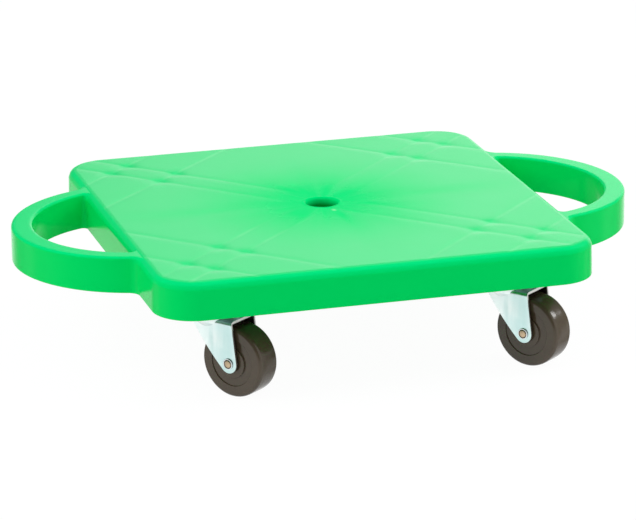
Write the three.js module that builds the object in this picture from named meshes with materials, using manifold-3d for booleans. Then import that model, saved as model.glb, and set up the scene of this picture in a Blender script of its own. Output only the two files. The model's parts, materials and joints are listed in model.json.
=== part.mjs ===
// Scooter board: a square moulded deck with a bow handle on each side, on four swivel casters.
// Millimetres. +X points to the right handle, +Y to the back and +Z up. The floor is z = 0.
import * as THREE from "three";
import { mergeVertices } from "three/addons/utils/BufferGeometryUtils.js";
import Module from "manifold-3d";

// Deck
const deck_size = 304.8;
const deck_height = 26.2;
const deck_corner_radius = 28.8;
const deck_edge_radius = 6;
const deck_draft = 0.5;
const deck_skin = 3.2;
const deck_wall = 3;
const rib_thickness = 2.2;
const rib_setback = 1.5;
const rope_hole_radius = 11;
const rope_hole_lip = 3;
const rope_tube_wall = 3;
const boss_radius = 4.6;

// Handles
const handle_reach = 66;
const handle_spread = 166;
const handle_drop = 1.4;
const grip_width = 14.8;
const grip_root_width = 12.2;
const grip_edge_radius = 2;
const handle_wall = 2.8;
const handle_rib_thickness = 1.8;
const handle_rib_turn = THREE.MathUtils.degToRad(24);

// Caster places on the deck
const caster_inset = 49.2;
const caster_heading = THREE.MathUtils.degToRad(-51.6);

// Mounting plate and its screws
const plate_thickness = 2;
const plate_margin = 6.8;
const plate_corner_radius = 6;
const screw_spacing_long = 40.9;
const screw_spacing_wide = 21.4;
const screw_radius = 1.9;
const screw_length = 15;
const screw_point = 2;
const screw_head_lip = 2.1;
const screw_head_height = 2.5;
const screw_head_round = 1.2;
const screw_hole_slack = 0.7;
const pilot_spare = 2;

// Swivel bearing
const race_height = 9;
const race_cone_spread = 2.8;
const upper_ball_radius = 2;
const upper_ball_count = 9;
const lower_ball_radius = 1.4;
const lower_ball_count = 6;
const race_rim_wall = 1.5;
const race_rim_height = 1.2;
const race_skirt_depth = 6;
const cage_thickness = 0.8;
const lower_race_thickness = 1.5;
const king_pin_radius = 3.8;
const king_pin_head_lip = 2.2;
const king_pin_head_height = 2.2;
const king_pin_foot_lip = 1.8;
const king_pin_foot_height = 1.8;

// Fork
const fork_sheet = 1.8;
const fork_bend_inside = 1.2;
const fork_trail = 18.8;
const fork_front_lead = 2.6;
const fork_rear_reach = 12.7;
const leg_tip_radius = 6.5;
const leg_rear_bulge = 2.6;

// Wheel, bushing and axle
const wheel_radius = 24.5;
const wheel_width = 19.3;
const wheel_shoulder = 2.9;
const wheel_top_clearance = 3.1;
const wheel_recess_depth = 0.75;
const wheel_recess_width = 5.7;
const hub_radius = 10.6;
const hub_rise = 0.55;
const bushing_rise = 1;
const bushing_wall = 1.2;
const axle_radius = 3;
const axle_head_lip = 0.8;
const axle_head_height = 0.9;

// Clearances: pieces at rest on each other, pieces that turn on each other, and how far a cut runs past
const seat_gap = 0.3;
const running_gap = 0.2;
const overrun = 4;

// How finely the round surfaces are cut
const deck_corner_steps = 5;
const deck_edge_steps = 3;
const bow_sides = 48;
const tube_sides = 18;
const boss_sides = 10;
const screw_sides = 6;
const race_sides = 16;
const wheel_sides = 24;
const axle_sides = 10;
const leg_steps = 5;
const shoulder_steps = 2;
const bend_steps = 2;

// Places that follow from the sizes
const deck_half = deck_size / 2;
const caster_offset = deck_half - caster_inset;
const axle_level = wheel_radius;
const wheel_face = wheel_width / 2;
const hub_face = wheel_face + hub_rise;
const bushing_end = hub_face + bushing_rise;
const leg_inner = bushing_end + seat_gap;
const leg_outer = leg_inner + fork_sheet;
const crown_under = axle_level + wheel_radius + wheel_top_clearance;
const crown_top = crown_under + fork_sheet;
const plate_under = crown_top + race_height;
const plate_top = plate_under + plate_thickness;
const deck_bottom = plate_top + seat_gap;
const deck_top = deck_bottom + deck_height;
const handle_top = deck_top - handle_drop;

const lower_pitch = king_pin_radius + 2 * running_gap + cage_thickness / 2 + lower_ball_radius;
const dome_radius = lower_pitch + lower_ball_radius + 2 * running_gap + fork_sheet;
const upper_pitch = dome_radius + running_gap + upper_ball_radius;
const upper_ball_level = crown_top + running_gap + upper_ball_radius;
const rim_inner = upper_pitch + upper_ball_radius + seat_gap;
const dish_radius = rim_inner + race_rim_wall;
const ball_reach = (upper_ball_radius + seat_gap) * Math.SQRT1_2;
const recess_radius = upper_pitch - ball_reach;
const recess_under = upper_ball_level + ball_reach;
const recess_floor = recess_under + plate_thickness;
const dome_top = recess_under - 2 * seat_gap;
const dome_under = dome_top - fork_sheet;
const lower_ball_level = dome_under - running_gap - lower_ball_radius;
const lower_race_top = lower_ball_level - lower_ball_radius - running_gap;
const lower_race_under = lower_race_top - lower_race_thickness;
const lower_race_radius = dome_radius - fork_sheet - running_gap;

const green_plastic = new THREE.MeshStandardMaterial({ color: 0x14cf63, roughness: 0.38, metalness: 0 });
const zinc_plate = new THREE.MeshStandardMaterial({ color: 0xcfdcdc, roughness: 0.32, metalness: 0.9 });
const dark_rubber = new THREE.MeshStandardMaterial({ color: 0x4b443e, roughness: 0.4, metalness: 0 });
const brass_rivet = new THREE.MeshStandardMaterial({ color: 0xb79a6a, roughness: 0.35, metalness: 0.9 });
const steel_ball = new THREE.MeshStandardMaterial({ color: 0xb8bcc0, roughness: 0.15, metalness: 1 });
const pale_nylon = new THREE.MeshStandardMaterial({ color: 0xd9d5c8, roughness: 0.5, metalness: 0 });

const wasm = await Module();
wasm.setup();

// A closed geometry as a solid that can be joined and cut.
function solidOf(geometry) {
  const bare = geometry.index ? geometry.toNonIndexed() : geometry.clone();
  bare.deleteAttribute("normal");
  bare.deleteAttribute("uv");
  const merged = mergeVertices(bare);
  return new wasm.Manifold(
    new wasm.Mesh({
      numProp: 3,
      vertProperties: merged.attributes.position.array,
      triVerts: new Uint32Array(merged.index.array),
    }),
  );
}

// A solid as a geometry.
function geometryOf(solid) {
  const surface = solid.getMesh();
  const geometry = new THREE.BufferGeometry();
  geometry.setAttribute("position", new THREE.BufferAttribute(surface.vertProperties, surface.numProp));
  geometry.setIndex(new THREE.BufferAttribute(surface.triVerts, 1));
  geometry.computeVertexNormals();
  return geometry;
}

function joined(solids) {
  return solids.reduce((whole, solid) => whole.add(solid));
}

// A box from one corner to the other.
function blockFrom(x_low, y_low, z_low, x_high, y_high, z_high) {
  return new THREE.BoxGeometry(x_high - x_low, y_high - y_low, z_high - z_low).translate(
    (x_low + x_high) / 2,
    (y_low + y_high) / 2,
    (z_low + z_high) / 2,
  );
}

// A body turned about the vertical axis, with a corner on +X. The profile holds [radius, level] pairs,
// outward and up.
function turnedUpright(profile, sides) {
  const points = profile.map(([radius, level]) => new THREE.Vector2(radius, level));
  return new THREE.LatheGeometry(points, sides, Math.PI / 2, 2 * Math.PI).rotateX(Math.PI / 2);
}

// A closed ring's profile comes back to where it starts.
function closedProfile(profile) {
  return [...profile, profile[0]];
}

function post(radius, low, high, sides) {
  return turnedUpright([[0, low], [radius, low], [radius, high], [0, high]], sides);
}

// Outline of a square with round corners, counterclockwise.
function roundedSquare(half, corner_radius) {
  const outline = [];
  const origin = new THREE.Vector2();
  const flat = half - corner_radius;
  for (let corner = 0; corner < 4; corner++) {
    const quarter = (corner * Math.PI) / 2;
    const centre = new THREE.Vector2(flat, flat).rotateAround(origin, quarter);
    for (let step = 0; step <= deck_corner_steps; step++) {
      const turn = quarter + (step / deck_corner_steps) * (Math.PI / 2);
      const spoke = new THREE.Vector2(Math.cos(turn), Math.sin(turn)).multiplyScalar(corner_radius);
      outline.push(centre.clone().add(spoke));
    }
  }
  return outline;
}

// A closed body through outlines of equal count, stacked from the lowest level to the highest.
function lofted(levels) {
  const count = levels[0].outline.length;
  const positions = levels.flatMap(({ outline, level }) =>
    outline.flatMap((point) => [point.x, point.y, level]),
  );
  const indices = [];
  for (let ring = 0; ring + 1 < levels.length; ring++) {
    for (let k = 0; k < count; k++) {
      const next = (k + 1) % count;
      const low = ring * count;
      const high = low + count;
      indices.push(low + k, low + next, high + next, low + k, high + next, high + k);
    }
  }
  const last = (levels.length - 1) * count;
  for (const [a, b, c] of THREE.ShapeUtils.triangulateShape(levels[0].outline, [])) {
    indices.push(c, b, a);
  }
  for (const [a, b, c] of THREE.ShapeUtils.triangulateShape(levels.at(-1).outline, [])) {
    indices.push(last + a, last + b, last + c);
  }
  const geometry = new THREE.BufferGeometry();
  geometry.setAttribute("position", new THREE.Float32BufferAttribute(positions, 3));
  geometry.setIndex(indices);
  return geometry;
}

// The deck's outside: sides that lean in by the draft, then the rounded top edge.
function deckOutside() {
  const lean = deck_draft / deck_height;
  const levels = [{ outline: roundedSquare(deck_half, deck_corner_radius), level: deck_bottom }];
  for (let step = 0; step <= deck_edge_steps; step++) {
    const turn = (step / deck_edge_steps) * (Math.PI / 2);
    const level = deck_top - deck_edge_radius * (1 - Math.sin(turn));
    const inset = lean * (level - deck_bottom) + deck_edge_radius * (1 - Math.cos(turn));
    levels.push({ outline: roundedSquare(deck_half - inset, deck_corner_radius - inset), level });
  }
  return lofted(levels);
}

// The hollow under the deck, before ribs and bosses are left standing in it.
function deckHollow() {
  const lean = deck_draft / deck_height;
  const levels = [deck_bottom - overrun, deck_top - deck_skin].map((level) => {
    const inset = deck_wall + lean * (level - deck_bottom);
    return { outline: roundedSquare(deck_half - inset, deck_corner_radius - inset), level };
  });
  return lofted(levels);
}

// One straight rib from the origin side of the deck outwards, before it is turned to its direction.
function ribAlong(from, to, middle) {
  const half = rib_thickness / 2;
  return blockFrom(from, middle - half, deck_bottom + rib_setback, to, middle + half, deck_top);
}

// Ribs: a cross through the rope tube, and at each corner a pair along the diagonal with two across it,
// which meet at the screw bosses.
function deckRibs() {
  const ribs = [];
  const reach = deck_size;
  const caster_distance = caster_offset * Math.SQRT2;
  for (let quarter = 0; quarter < 4; quarter++) {
    const straight = (quarter * Math.PI) / 2;
    const diagonal = straight + Math.PI / 4;
    ribs.push(ribAlong(rope_hole_radius, reach, 0).rotateZ(straight));
    for (const side of [-1, 1]) {
      ribs.push(ribAlong(rope_hole_radius, reach, (side * screw_spacing_wide) / 2).rotateZ(diagonal));
      const across = caster_distance + (side * screw_spacing_long) / 2;
      ribs.push(ribAlong(-reach, reach, -across).rotateZ(diagonal + Math.PI / 2));
    }
  }
  return ribs.map(solidOf);
}

// The places of one plate's screws, along and across the plate.
function screwPlaces() {
  const places = [];
  for (const along of [-1, 1]) {
    for (const across of [-1, 1]) {
      places.push([(along * screw_spacing_long) / 2, (across * screw_spacing_wide) / 2]);
    }
  }
  return places;
}

// The four casters: where each swivel axis stands, and which way its plate points.
function casterPlaces() {
  return [
    ["front_left", -1, -1],
    ["front_right", 1, -1],
    ["rear_left", -1, 1],
    ["rear_right", 1, 1],
  ].map(([name, side_x, side_y]) => ({
    name,
    x: side_x * caster_offset,
    y: side_y * caster_offset,
    plate_turn: Math.atan2(side_y, side_x),
  }));
}

// One upright body at each screw's place under the deck.
function atScrews(geometry) {
  return casterPlaces().flatMap(({ x, y, plate_turn }) =>
    screwPlaces().map(([along, across]) =>
      solidOf(geometry.clone().translate(along, across, 0).rotateZ(plate_turn).translate(x, y, 0)),
    ),
  );
}

// The rope hole, with the lip that rounds into the top of the deck.
function ropeHole() {
  const profile = [[0, deck_bottom - overrun], [rope_hole_radius, deck_bottom - overrun]];
  for (let step = 0; step <= bend_steps; step++) {
    const turn = (step / bend_steps) * (Math.PI / 2);
    const radius = rope_hole_radius + rope_hole_lip * (1 - Math.cos(turn));
    profile.push([radius, deck_top - rope_hole_lip * (1 - Math.sin(turn))]);
  }
  profile.push([rope_hole_radius + rope_hole_lip, deck_top + overrun], [0, deck_top + overrun]);
  return solidOf(turnedUpright(profile, tube_sides));
}

// A disc of the bow's outside, rounded at its upper edge.
function bowDisc(radius) {
  const profile = [[0, deck_bottom], [radius, deck_bottom]];
  for (let step = 0; step <= bend_steps; step++) {
    const turn = (step / bend_steps) * (Math.PI / 2);
    const narrower = grip_edge_radius * (1 - Math.cos(turn));
    profile.push([radius - narrower, handle_top - grip_edge_radius * (1 - Math.sin(turn))]);
  }
  profile.push([0, handle_top]);
  return turnedUpright(profile, bow_sides);
}

// The hand hole, wider where the grip's inner edge rounds over.
function handHole(radius) {
  const profile = [[0, deck_bottom - overrun], [radius, deck_bottom - overrun]];
  for (let step = 0; step <= bend_steps; step++) {
    const turn = (step / bend_steps) * (Math.PI / 2);
    const wider = grip_edge_radius * (1 - Math.cos(turn));
    profile.push([radius + wider, handle_top - grip_edge_radius * (1 - Math.sin(turn))]);
  }
  profile.push([radius + grip_edge_radius, handle_top + overrun], [0, handle_top + overrun]);
  return turnedUpright(profile, bow_sides);
}

// Radius of the arc that stands out by its reach from a straight edge it meets over its spread.
function bowRadius(reach, spread) {
  return (reach * reach + (spread * spread) / 4) / (2 * reach);
}

// The right handle: a bow between two arcs, open underneath, with ribs across its channel.
function handle() {
  const hole_reach = handle_reach - grip_width;
  const outer_radius = bowRadius(handle_reach, handle_spread);
  const inner_radius = bowRadius(hole_reach, handle_spread - 2 * grip_root_width);
  const outer_middle = deck_half + handle_reach - outer_radius;
  const inner_middle = deck_half + hole_reach - inner_radius;
  const outside = bowDisc(outer_radius).translate(outer_middle, 0, 0);
  const hole = handHole(inner_radius).translate(inner_middle, 0, 0);
  const blank = solidOf(outside).subtract(solidOf(hole));
  const channel_top = handle_top - handle_wall;
  const channel_outer = post(outer_radius - handle_wall, deck_bottom - overrun, channel_top, bow_sides);
  const channel_inner = post(inner_radius + handle_wall, deck_bottom - 2 * overrun, deck_top, bow_sides);
  const rib_half = handle_rib_thickness / 2;
  const rib = blockFrom(0, -rib_half, deck_bottom + rib_setback, deck_size, rib_half, deck_top);
  const ribs = [-2, -1, 0, 1, 2].map((place) =>
    solidOf(rib.clone().rotateZ(place * handle_rib_turn).translate(inner_middle, 0, 0)),
  );
  const channel = solidOf(channel_outer.translate(outer_middle, 0, 0))
    .subtract(solidOf(channel_inner.translate(inner_middle, 0, 0)))
    .intersect(beyondSide(deck_half))
    .subtract(joined(ribs));
  return blank.intersect(beyondSide(deck_half - deck_wall / 2)).subtract(channel);
}

// Everything further out than x, over the deck's whole height and more.
function beyondSide(x) {
  const low = deck_bottom - 2 * overrun;
  const high = deck_top + overrun;
  return solidOf(blockFrom(x, -deck_size, low, x + deck_size, deck_size, high));
}

function deck() {
  const bosses = atScrews(post(boss_radius, deck_bottom, deck_top, boss_sides));
  const pilot_top = plate_under + screw_length + pilot_spare;
  const pilots = atScrews(post(screw_radius + seat_gap, deck_bottom - overrun, pilot_top, screw_sides));
  const tube = solidOf(post(rope_hole_radius + rope_tube_wall, deck_bottom, deck_top, tube_sides));
  const hollow = solidOf(deckHollow()).subtract(joined([...deckRibs(), ...bosses, tube]));
  const right_handle = handle();
  const body = solidOf(deckOutside())
    .subtract(hollow)
    .add(right_handle)
    .add(right_handle.rotate([0, 0, 180]))
    .subtract(ropeHole())
    .subtract(joined(pilots));
  return geometryOf(body);
}

// The mounting plate, centred on the swivel axis, with its long way along X.
function mountPlate() {
  const blank = new THREE.Shape();
  const x = screw_spacing_long / 2 + plate_margin - plate_corner_radius;
  const y = screw_spacing_wide / 2 + plate_margin - plate_corner_radius;
  [[x, y], [-x, y], [-x, -y], [x, -y]].forEach(([corner_x, corner_y], corner) => {
    const turn = (corner * Math.PI) / 2;
    blank.absarc(corner_x, corner_y, plate_corner_radius, turn, turn + Math.PI / 2, false);
  });
  const hole_radius = screw_radius + screw_hole_slack;
  for (const [along, across] of screwPlaces()) {
    blank.holes.push(new THREE.Path().absarc(along, across, hole_radius, 0, 2 * Math.PI, true));
  }
  const flat = new THREE.ExtrudeGeometry(blank, {
    depth: plate_thickness,
    bevelEnabled: false,
    curveSegments: bend_steps,
  }).translate(0, 0, plate_under);
  const wide = recess_radius + race_cone_spread;
  const boss = turnedUpright(
    [
      [0, recess_under],
      [recess_radius, recess_under],
      [wide, plate_under],
      [wide, plate_top],
      [0, plate_top],
    ],
    race_sides,
  );
  const inside = turnedUpright(
    [
      [0, recess_floor],
      [recess_radius - plate_thickness / 2, recess_floor],
      [wide - plate_thickness / 2, plate_top],
      [wide - plate_thickness / 2, plate_top + overrun],
      [0, plate_top + overrun],
    ],
    race_sides,
  );
  const bore = king_pin_radius + seat_gap;
  const pin_hole = post(bore, recess_under - overrun, recess_floor + overrun, axle_sides);
  const pressed = joined([solidOf(flat), solidOf(boss)]);
  return geometryOf(pressed.subtract(joined([solidOf(inside), solidOf(pin_hole)])));
}

// A pan-head screw, head down, at its place along and across the plate.
function screw() {
  const head_radius = screw_radius + screw_head_lip;
  const head_top = plate_under - seat_gap;
  const head_low = head_top - screw_head_height;
  const tip = head_top + screw_length;
  return turnedUpright(
    [
      [0, head_low],
      [head_radius - screw_head_round, head_low],
      [head_radius, head_low + screw_head_round],
      [head_radius, head_top],
      [screw_radius, head_top],
      [screw_radius, tip - screw_point],
      [0, tip],
    ],
    screw_sides,
  );
}

// The rivet that the fork turns on: a head in the plate's recess and a foot under the lower race.
function kingPin() {
  const head_radius = king_pin_radius + king_pin_head_lip;
  const foot_radius = king_pin_radius + king_pin_foot_lip;
  const head_low = recess_floor + seat_gap;
  const head_top = head_low + king_pin_head_height;
  const foot_top = lower_race_under - seat_gap;
  const foot_low = foot_top - king_pin_foot_height;
  return turnedUpright(
    [
      [0, foot_low],
      [king_pin_radius, foot_low],
      [foot_radius, foot_low + king_pin_foot_height / 2],
      [foot_radius, foot_top],
      [king_pin_radius, foot_top],
      [king_pin_radius, head_low],
      [head_radius, head_low],
      [head_radius, head_low + king_pin_head_height / 2],
      [king_pin_radius, head_top],
      [0, head_top],
    ],
    axle_sides,
  );
}

// Balls of one race, held in a thin ring cage through their middles.
function ballRing(ball_radius, count, pitch, level) {
  const half = cage_thickness / 2;
  const cage = turnedUpright(
    closedProfile([
      [pitch - half, level - half],
      [pitch + half, level - half],
      [pitch + half, level + half],
      [pitch - half, level + half],
    ]),
    count,
  );
  const balls = [];
  for (let k = 0; k < count; k++) {
    const ball = new THREE.IcosahedronGeometry(ball_radius).translate(pitch, 0, level);
    balls.push(solidOf(ball.rotateZ((2 * Math.PI * k) / count)));
  }
  return geometryOf(joined([solidOf(cage), ...balls]));
}

// The washer that the lower balls run on.
function lowerRace() {
  const bore = king_pin_radius + seat_gap;
  return turnedUpright(
    closedProfile([
      [bore, lower_race_under],
      [lower_race_radius - lower_race_thickness / 2, lower_race_under],
      [lower_race_radius, lower_race_top],
      [bore, lower_race_top],
    ]),
    race_sides,
  );
}

// The fork's outline from the side: a straight front edge, a round tip about the axle and a rear edge
// that bows out on its way up to the back of the crown.
function legOutline() {
  const axle = new THREE.Vector2(fork_trail, axle_level);
  const front = new THREE.Vector2(fork_trail + fork_front_lead, crown_top);
  const rear = new THREE.Vector2(-fork_rear_reach, crown_top);
  const touchTurn = (corner, side) => {
    const arm = corner.clone().sub(axle);
    return arm.angle() + side * Math.acos(leg_tip_radius / arm.length());
  };
  const rear_turn = touchTurn(rear, 1);
  const front_turn = touchTurn(front, -1);
  const spoke = new THREE.Vector2(Math.cos(rear_turn), Math.sin(rear_turn));
  const touch = spoke.multiplyScalar(leg_tip_radius).add(axle);
  const edge = touch.clone().sub(rear).normalize();
  const outward = new THREE.Vector2(edge.y, -edge.x).multiplyScalar(leg_rear_bulge);
  const middle = touch.clone().add(rear).multiplyScalar(0.5).add(outward);
  const outline = new THREE.Shape();
  outline.moveTo(rear.x, rear.y);
  outline.quadraticCurveTo(middle.x, middle.y, touch.x, touch.y);
  outline.absarc(axle.x, axle.y, leg_tip_radius, rear_turn, front_turn, false);
  outline.lineTo(front.x, front.y);
  return outline;
}

// The fork's outline from the front: crown and two legs bent from one sheet.
function bendOutline() {
  const low = axle_level - leg_tip_radius - overrun;
  const outer_bend = fork_bend_inside + fork_sheet;
  const x = leg_outer - outer_bend;
  const z = crown_top - outer_bend;
  const outline = new THREE.Shape();
  outline.moveTo(leg_outer, low);
  outline.absarc(x, z, outer_bend, 0, Math.PI / 2, false);
  outline.absarc(-x, z, outer_bend, Math.PI / 2, Math.PI, false);
  outline.lineTo(-leg_outer, low);
  outline.lineTo(-leg_inner, low);
  outline.absarc(-x, z, fork_bend_inside, Math.PI, Math.PI / 2, true);
  outline.absarc(x, z, fork_bend_inside, Math.PI / 2, 0, true);
  outline.lineTo(leg_inner, low);
  return outline;
}

// The round dish of the crown: a rim round the upper balls, a raised middle over the lower ones
// and a skirt that runs down into the legs.
function crownDish() {
  const bore = king_pin_radius + seat_gap;
  return turnedUpright(
    closedProfile([
      [bore, dome_under],
      [dome_radius - fork_sheet, dome_under],
      [dome_radius - fork_sheet, crown_under],
      [leg_outer - fork_sheet / 2, crown_under],
      [leg_outer - fork_sheet / 2, crown_top - race_skirt_depth],
      [dish_radius, crown_top - race_skirt_depth / 2],
      [dish_radius, crown_top + race_rim_height],
      [rim_inner, crown_top + race_rim_height],
      [rim_inner, crown_top],
      [dome_radius, crown_top],
      [dome_radius, dome_top],
      [bore, dome_top],
    ]),
    race_sides,
  );
}

function fork() {
  const side_view = new THREE.ExtrudeGeometry(legOutline(), {
    depth: 2 * leg_outer + 2 * overrun,
    bevelEnabled: false,
    curveSegments: leg_steps,
  })
    .rotateX(Math.PI / 2)
    .translate(0, leg_outer + overrun, 0);
  const swap_axes = new THREE.Matrix4().makeBasis(
    new THREE.Vector3(0, 1, 0),
    new THREE.Vector3(0, 0, 1),
    new THREE.Vector3(1, 0, 0),
  );
  const length = fork_rear_reach + fork_trail + Math.max(fork_front_lead, leg_tip_radius) + 2 * overrun;
  const front_view = new THREE.ExtrudeGeometry(bendOutline(), {
    depth: length,
    bevelEnabled: false,
    curveSegments: bend_steps,
  })
    .applyMatrix4(swap_axes)
    .translate(-fork_rear_reach - overrun, 0, 0);
  const bent = solidOf(side_view).intersect(solidOf(front_view));
  const middle = post(dome_radius - fork_sheet / 2, crown_under - overrun, crown_top + overrun, race_sides);
  const wheel_way = blockFrom(0, -leg_inner, axle_level, fork_trail + wheel_radius, leg_inner, crown_under);
  const axle_hole = new THREE.CylinderGeometry(
    axle_radius + running_gap,
    axle_radius + running_gap,
    2 * leg_outer + overrun,
    axle_sides,
  ).translate(fork_trail, 0, axle_level);
  const whole = bent
    .subtract(solidOf(middle))
    .add(solidOf(crownDish()))
    .subtract(solidOf(wheel_way))
    .subtract(solidOf(axle_hole));
  return geometryOf(whole);
}

// The wheel about its own axle: tread, rounded shoulders, a recessed ring on each face and the hub.
// Its flats touch the floor at the wheel's radius.
function wheel() {
  const flat_share = 1 / Math.cos(Math.PI / wheel_sides);
  const bore = axle_radius + bushing_wall + 2 * running_gap + seat_gap;
  const recess = wheel_face - wheel_recess_depth;
  const recess_edge = hub_radius + wheel_recess_width;
  const half = [
    [bore, hub_face],
    [hub_radius, hub_face],
    [hub_radius, recess],
    [recess_edge, recess],
    [recess_edge, wheel_face],
  ];
  for (let step = 0; step <= shoulder_steps; step++) {
    const turn = (step / shoulder_steps) * (Math.PI / 2);
    half.push([
      wheel_radius - wheel_shoulder * (1 - Math.sin(turn)),
      wheel_face - wheel_shoulder * (1 - Math.cos(turn)),
    ]);
  }
  const mirrored = half.map(([radius, across]) => [radius, -across]);
  const profile = closedProfile([...mirrored, ...half.reverse()]);
  const points = profile.map(([radius, across]) => new THREE.Vector2(radius * flat_share, across));
  return new THREE.LatheGeometry(points, wheel_sides, Math.PI / wheel_sides, 2 * Math.PI);
}

// The sleeve between the wheel and its axle.
function bushing() {
  const bore = axle_radius + 2 * running_gap;
  const points = closedProfile([
    [bore, -bushing_end],
    [bore + bushing_wall, -bushing_end],
    [bore + bushing_wall, bushing_end],
    [bore, bushing_end],
  ]).map(([radius, across]) => new THREE.Vector2(radius, across));
  return new THREE.LatheGeometry(points, axle_sides);
}

// The axle rivet, with a low head outside each leg.
function axle() {
  const head_radius = axle_radius + axle_head_lip;
  const seat = leg_outer + seat_gap;
  const end = seat + axle_head_height;
  const half = [
    [axle_radius, seat],
    [head_radius, seat],
    [head_radius, end],
    [0, end],
  ];
  const mirrored = half.map(([radius, across]) => [radius, -across]).reverse();
  const points = [...mirrored, ...half].map(([radius, across]) => new THREE.Vector2(radius, across));
  return new THREE.LatheGeometry(points, axle_sides);
}

function named(name, geometry, material) {
  const piece = new THREE.Mesh(geometry, material);
  piece.name = name;
  return piece;
}

// One caster: what is fixed to the deck, and what swivels, with the wheel on its axle.
function caster({ name, x, y, plate_turn }) {
  const whole = new THREE.Group();
  whole.position.set(x, y, 0);

  const fixed = new THREE.Group();
  fixed.rotation.z = plate_turn;
  fixed.add(named(name + "_mount_plate", mountPlate(), zinc_plate));
  screwPlaces().forEach(([along, across], k) => {
    const piece = named(name + "_screw_" + (k + 1), screw(), zinc_plate);
    piece.position.set(along, across, 0);
    fixed.add(piece);
  });
  fixed.add(named(name + "_king_pin", kingPin(), zinc_plate));
  fixed.add(named(name + "_lower_race", lowerRace(), zinc_plate));

  const swivel = new THREE.Group();
  swivel.rotation.z = caster_heading;
  swivel.add(named(name + "_fork", fork(), zinc_plate));
  const upper = ballRing(upper_ball_radius, upper_ball_count, upper_pitch, upper_ball_level);
  const lower = ballRing(lower_ball_radius, lower_ball_count, lower_pitch, lower_ball_level);
  swivel.add(named(name + "_upper_balls", upper, steel_ball));
  swivel.add(named(name + "_lower_balls", lower, steel_ball));

  const rolling = new THREE.Group();
  rolling.position.set(fork_trail, 0, axle_level);
  rolling.add(named(name + "_axle", axle(), brass_rivet));
  rolling.add(named(name + "_wheel", wheel(), dark_rubber));
  rolling.add(named(name + "_bushing", bushing(), pale_nylon));
  swivel.add(rolling);

  whole.add(fixed, swivel);
  return whole;
}

const board = new THREE.Group();
board.add(named("deck", deck(), green_plastic));
for (const place of casterPlaces()) {
  board.add(caster(place));
}

export default board;
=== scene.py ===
# Scooter board: a moulded deck with a bow handle on each side, on four swivel casters.
import json
import math

import bmesh
import bpy
import numpy as np
from mathutils import Matrix, Vector
from mathutils.geometry import delaunay_2d_cdt, tessellate_polygon

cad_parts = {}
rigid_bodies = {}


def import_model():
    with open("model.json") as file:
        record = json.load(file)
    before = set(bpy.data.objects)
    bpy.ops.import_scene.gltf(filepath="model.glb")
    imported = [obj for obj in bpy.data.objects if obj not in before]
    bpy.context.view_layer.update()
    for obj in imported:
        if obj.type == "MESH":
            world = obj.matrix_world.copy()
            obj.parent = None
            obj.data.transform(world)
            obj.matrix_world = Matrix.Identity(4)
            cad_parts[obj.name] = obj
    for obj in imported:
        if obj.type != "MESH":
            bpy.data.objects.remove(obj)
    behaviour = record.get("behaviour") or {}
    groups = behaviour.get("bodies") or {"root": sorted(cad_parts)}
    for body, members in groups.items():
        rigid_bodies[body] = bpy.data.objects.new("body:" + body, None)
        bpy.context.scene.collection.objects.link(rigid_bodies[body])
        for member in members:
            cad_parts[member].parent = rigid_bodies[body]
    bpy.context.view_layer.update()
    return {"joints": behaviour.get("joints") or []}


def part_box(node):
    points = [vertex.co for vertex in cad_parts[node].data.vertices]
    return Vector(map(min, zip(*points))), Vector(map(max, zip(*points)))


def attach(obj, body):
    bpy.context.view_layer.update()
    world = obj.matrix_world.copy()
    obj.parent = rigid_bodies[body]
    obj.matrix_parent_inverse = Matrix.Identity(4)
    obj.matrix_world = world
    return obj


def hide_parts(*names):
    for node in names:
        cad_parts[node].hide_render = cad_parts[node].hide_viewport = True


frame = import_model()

# Sizes are in millimetres. The main places are read from the frame's nodes and joints.
MM = 0.001
QUARTER = math.pi / 2
WHOLE = 2 * math.pi


def node_box(node):
    """Lowest and highest corner of a CAD node, in millimetres."""
    low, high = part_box(node)
    return low / MM, high / MM


def joint_place(name):
    """Where a joint is, in millimetres, and the direction of its axis."""
    joint = next(j for j in frame["joints"] if j["name"] == name)
    return Vector(joint["pos_m"]) / MM, Vector(joint["axis"])


# Deck
deck_low, deck_high = node_box("deck")
DECK_HALF = deck_high.y
DECK_BOTTOM = deck_low.z
DECK_TOP = deck_high.z
DECK_CORNER_RADIUS = 28.8
DECK_EDGE_RADIUS = 6
DECK_DRAFT = 0.5
DECK_SKIN = 3.2
DECK_WALL = 3
BOTTOM_EDGE_RADIUS = 0.8
RIB_HALF = 1.1
RIB_SETBACK = 1.5
RIB_TIP_CHAMFER = 0.35
RIB_TIP_HEIGHT = 0.5
RIB_DRAFT = 0.25
RIB_ROOT_RADIUS = 1.6
POCKET_CORNER_RADIUS = 1.5
POCKET_START_SHARE = 0.8
CORNER_ARC_MARGIN = 12
ROPE_HOLE_RADIUS = 11
ROPE_HOLE_LIP = 3
ROPE_TUBE_WALL = 3
BOSS_RADIUS = 4.6
PILOT_RADIUS = 2.2
PILOT_TOP = 79.9

# Handles
HANDLE_REACH = deck_high.x - DECK_HALF
HANDLE_SPREAD = 166
HANDLE_DROP = 0.8
HANDLE_FALL = 1
GRIP_WIDTH = 14.8
GRIP_ROOT_WIDTH = 12.2
GRIP_EDGE_RADIUS = 2
OUTER_ROOT_RADIUS = 8.5
INNER_ROOT_RADIUS = 3
HANDLE_WALL = 2.8
HANDLE_RIB_HALF = 0.9
HANDLE_RIB_TURN = math.radians(24)
HANDLE_RIB_PAIRS = 2
HANDLE_END_TURN = math.radians(71.5)

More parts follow.
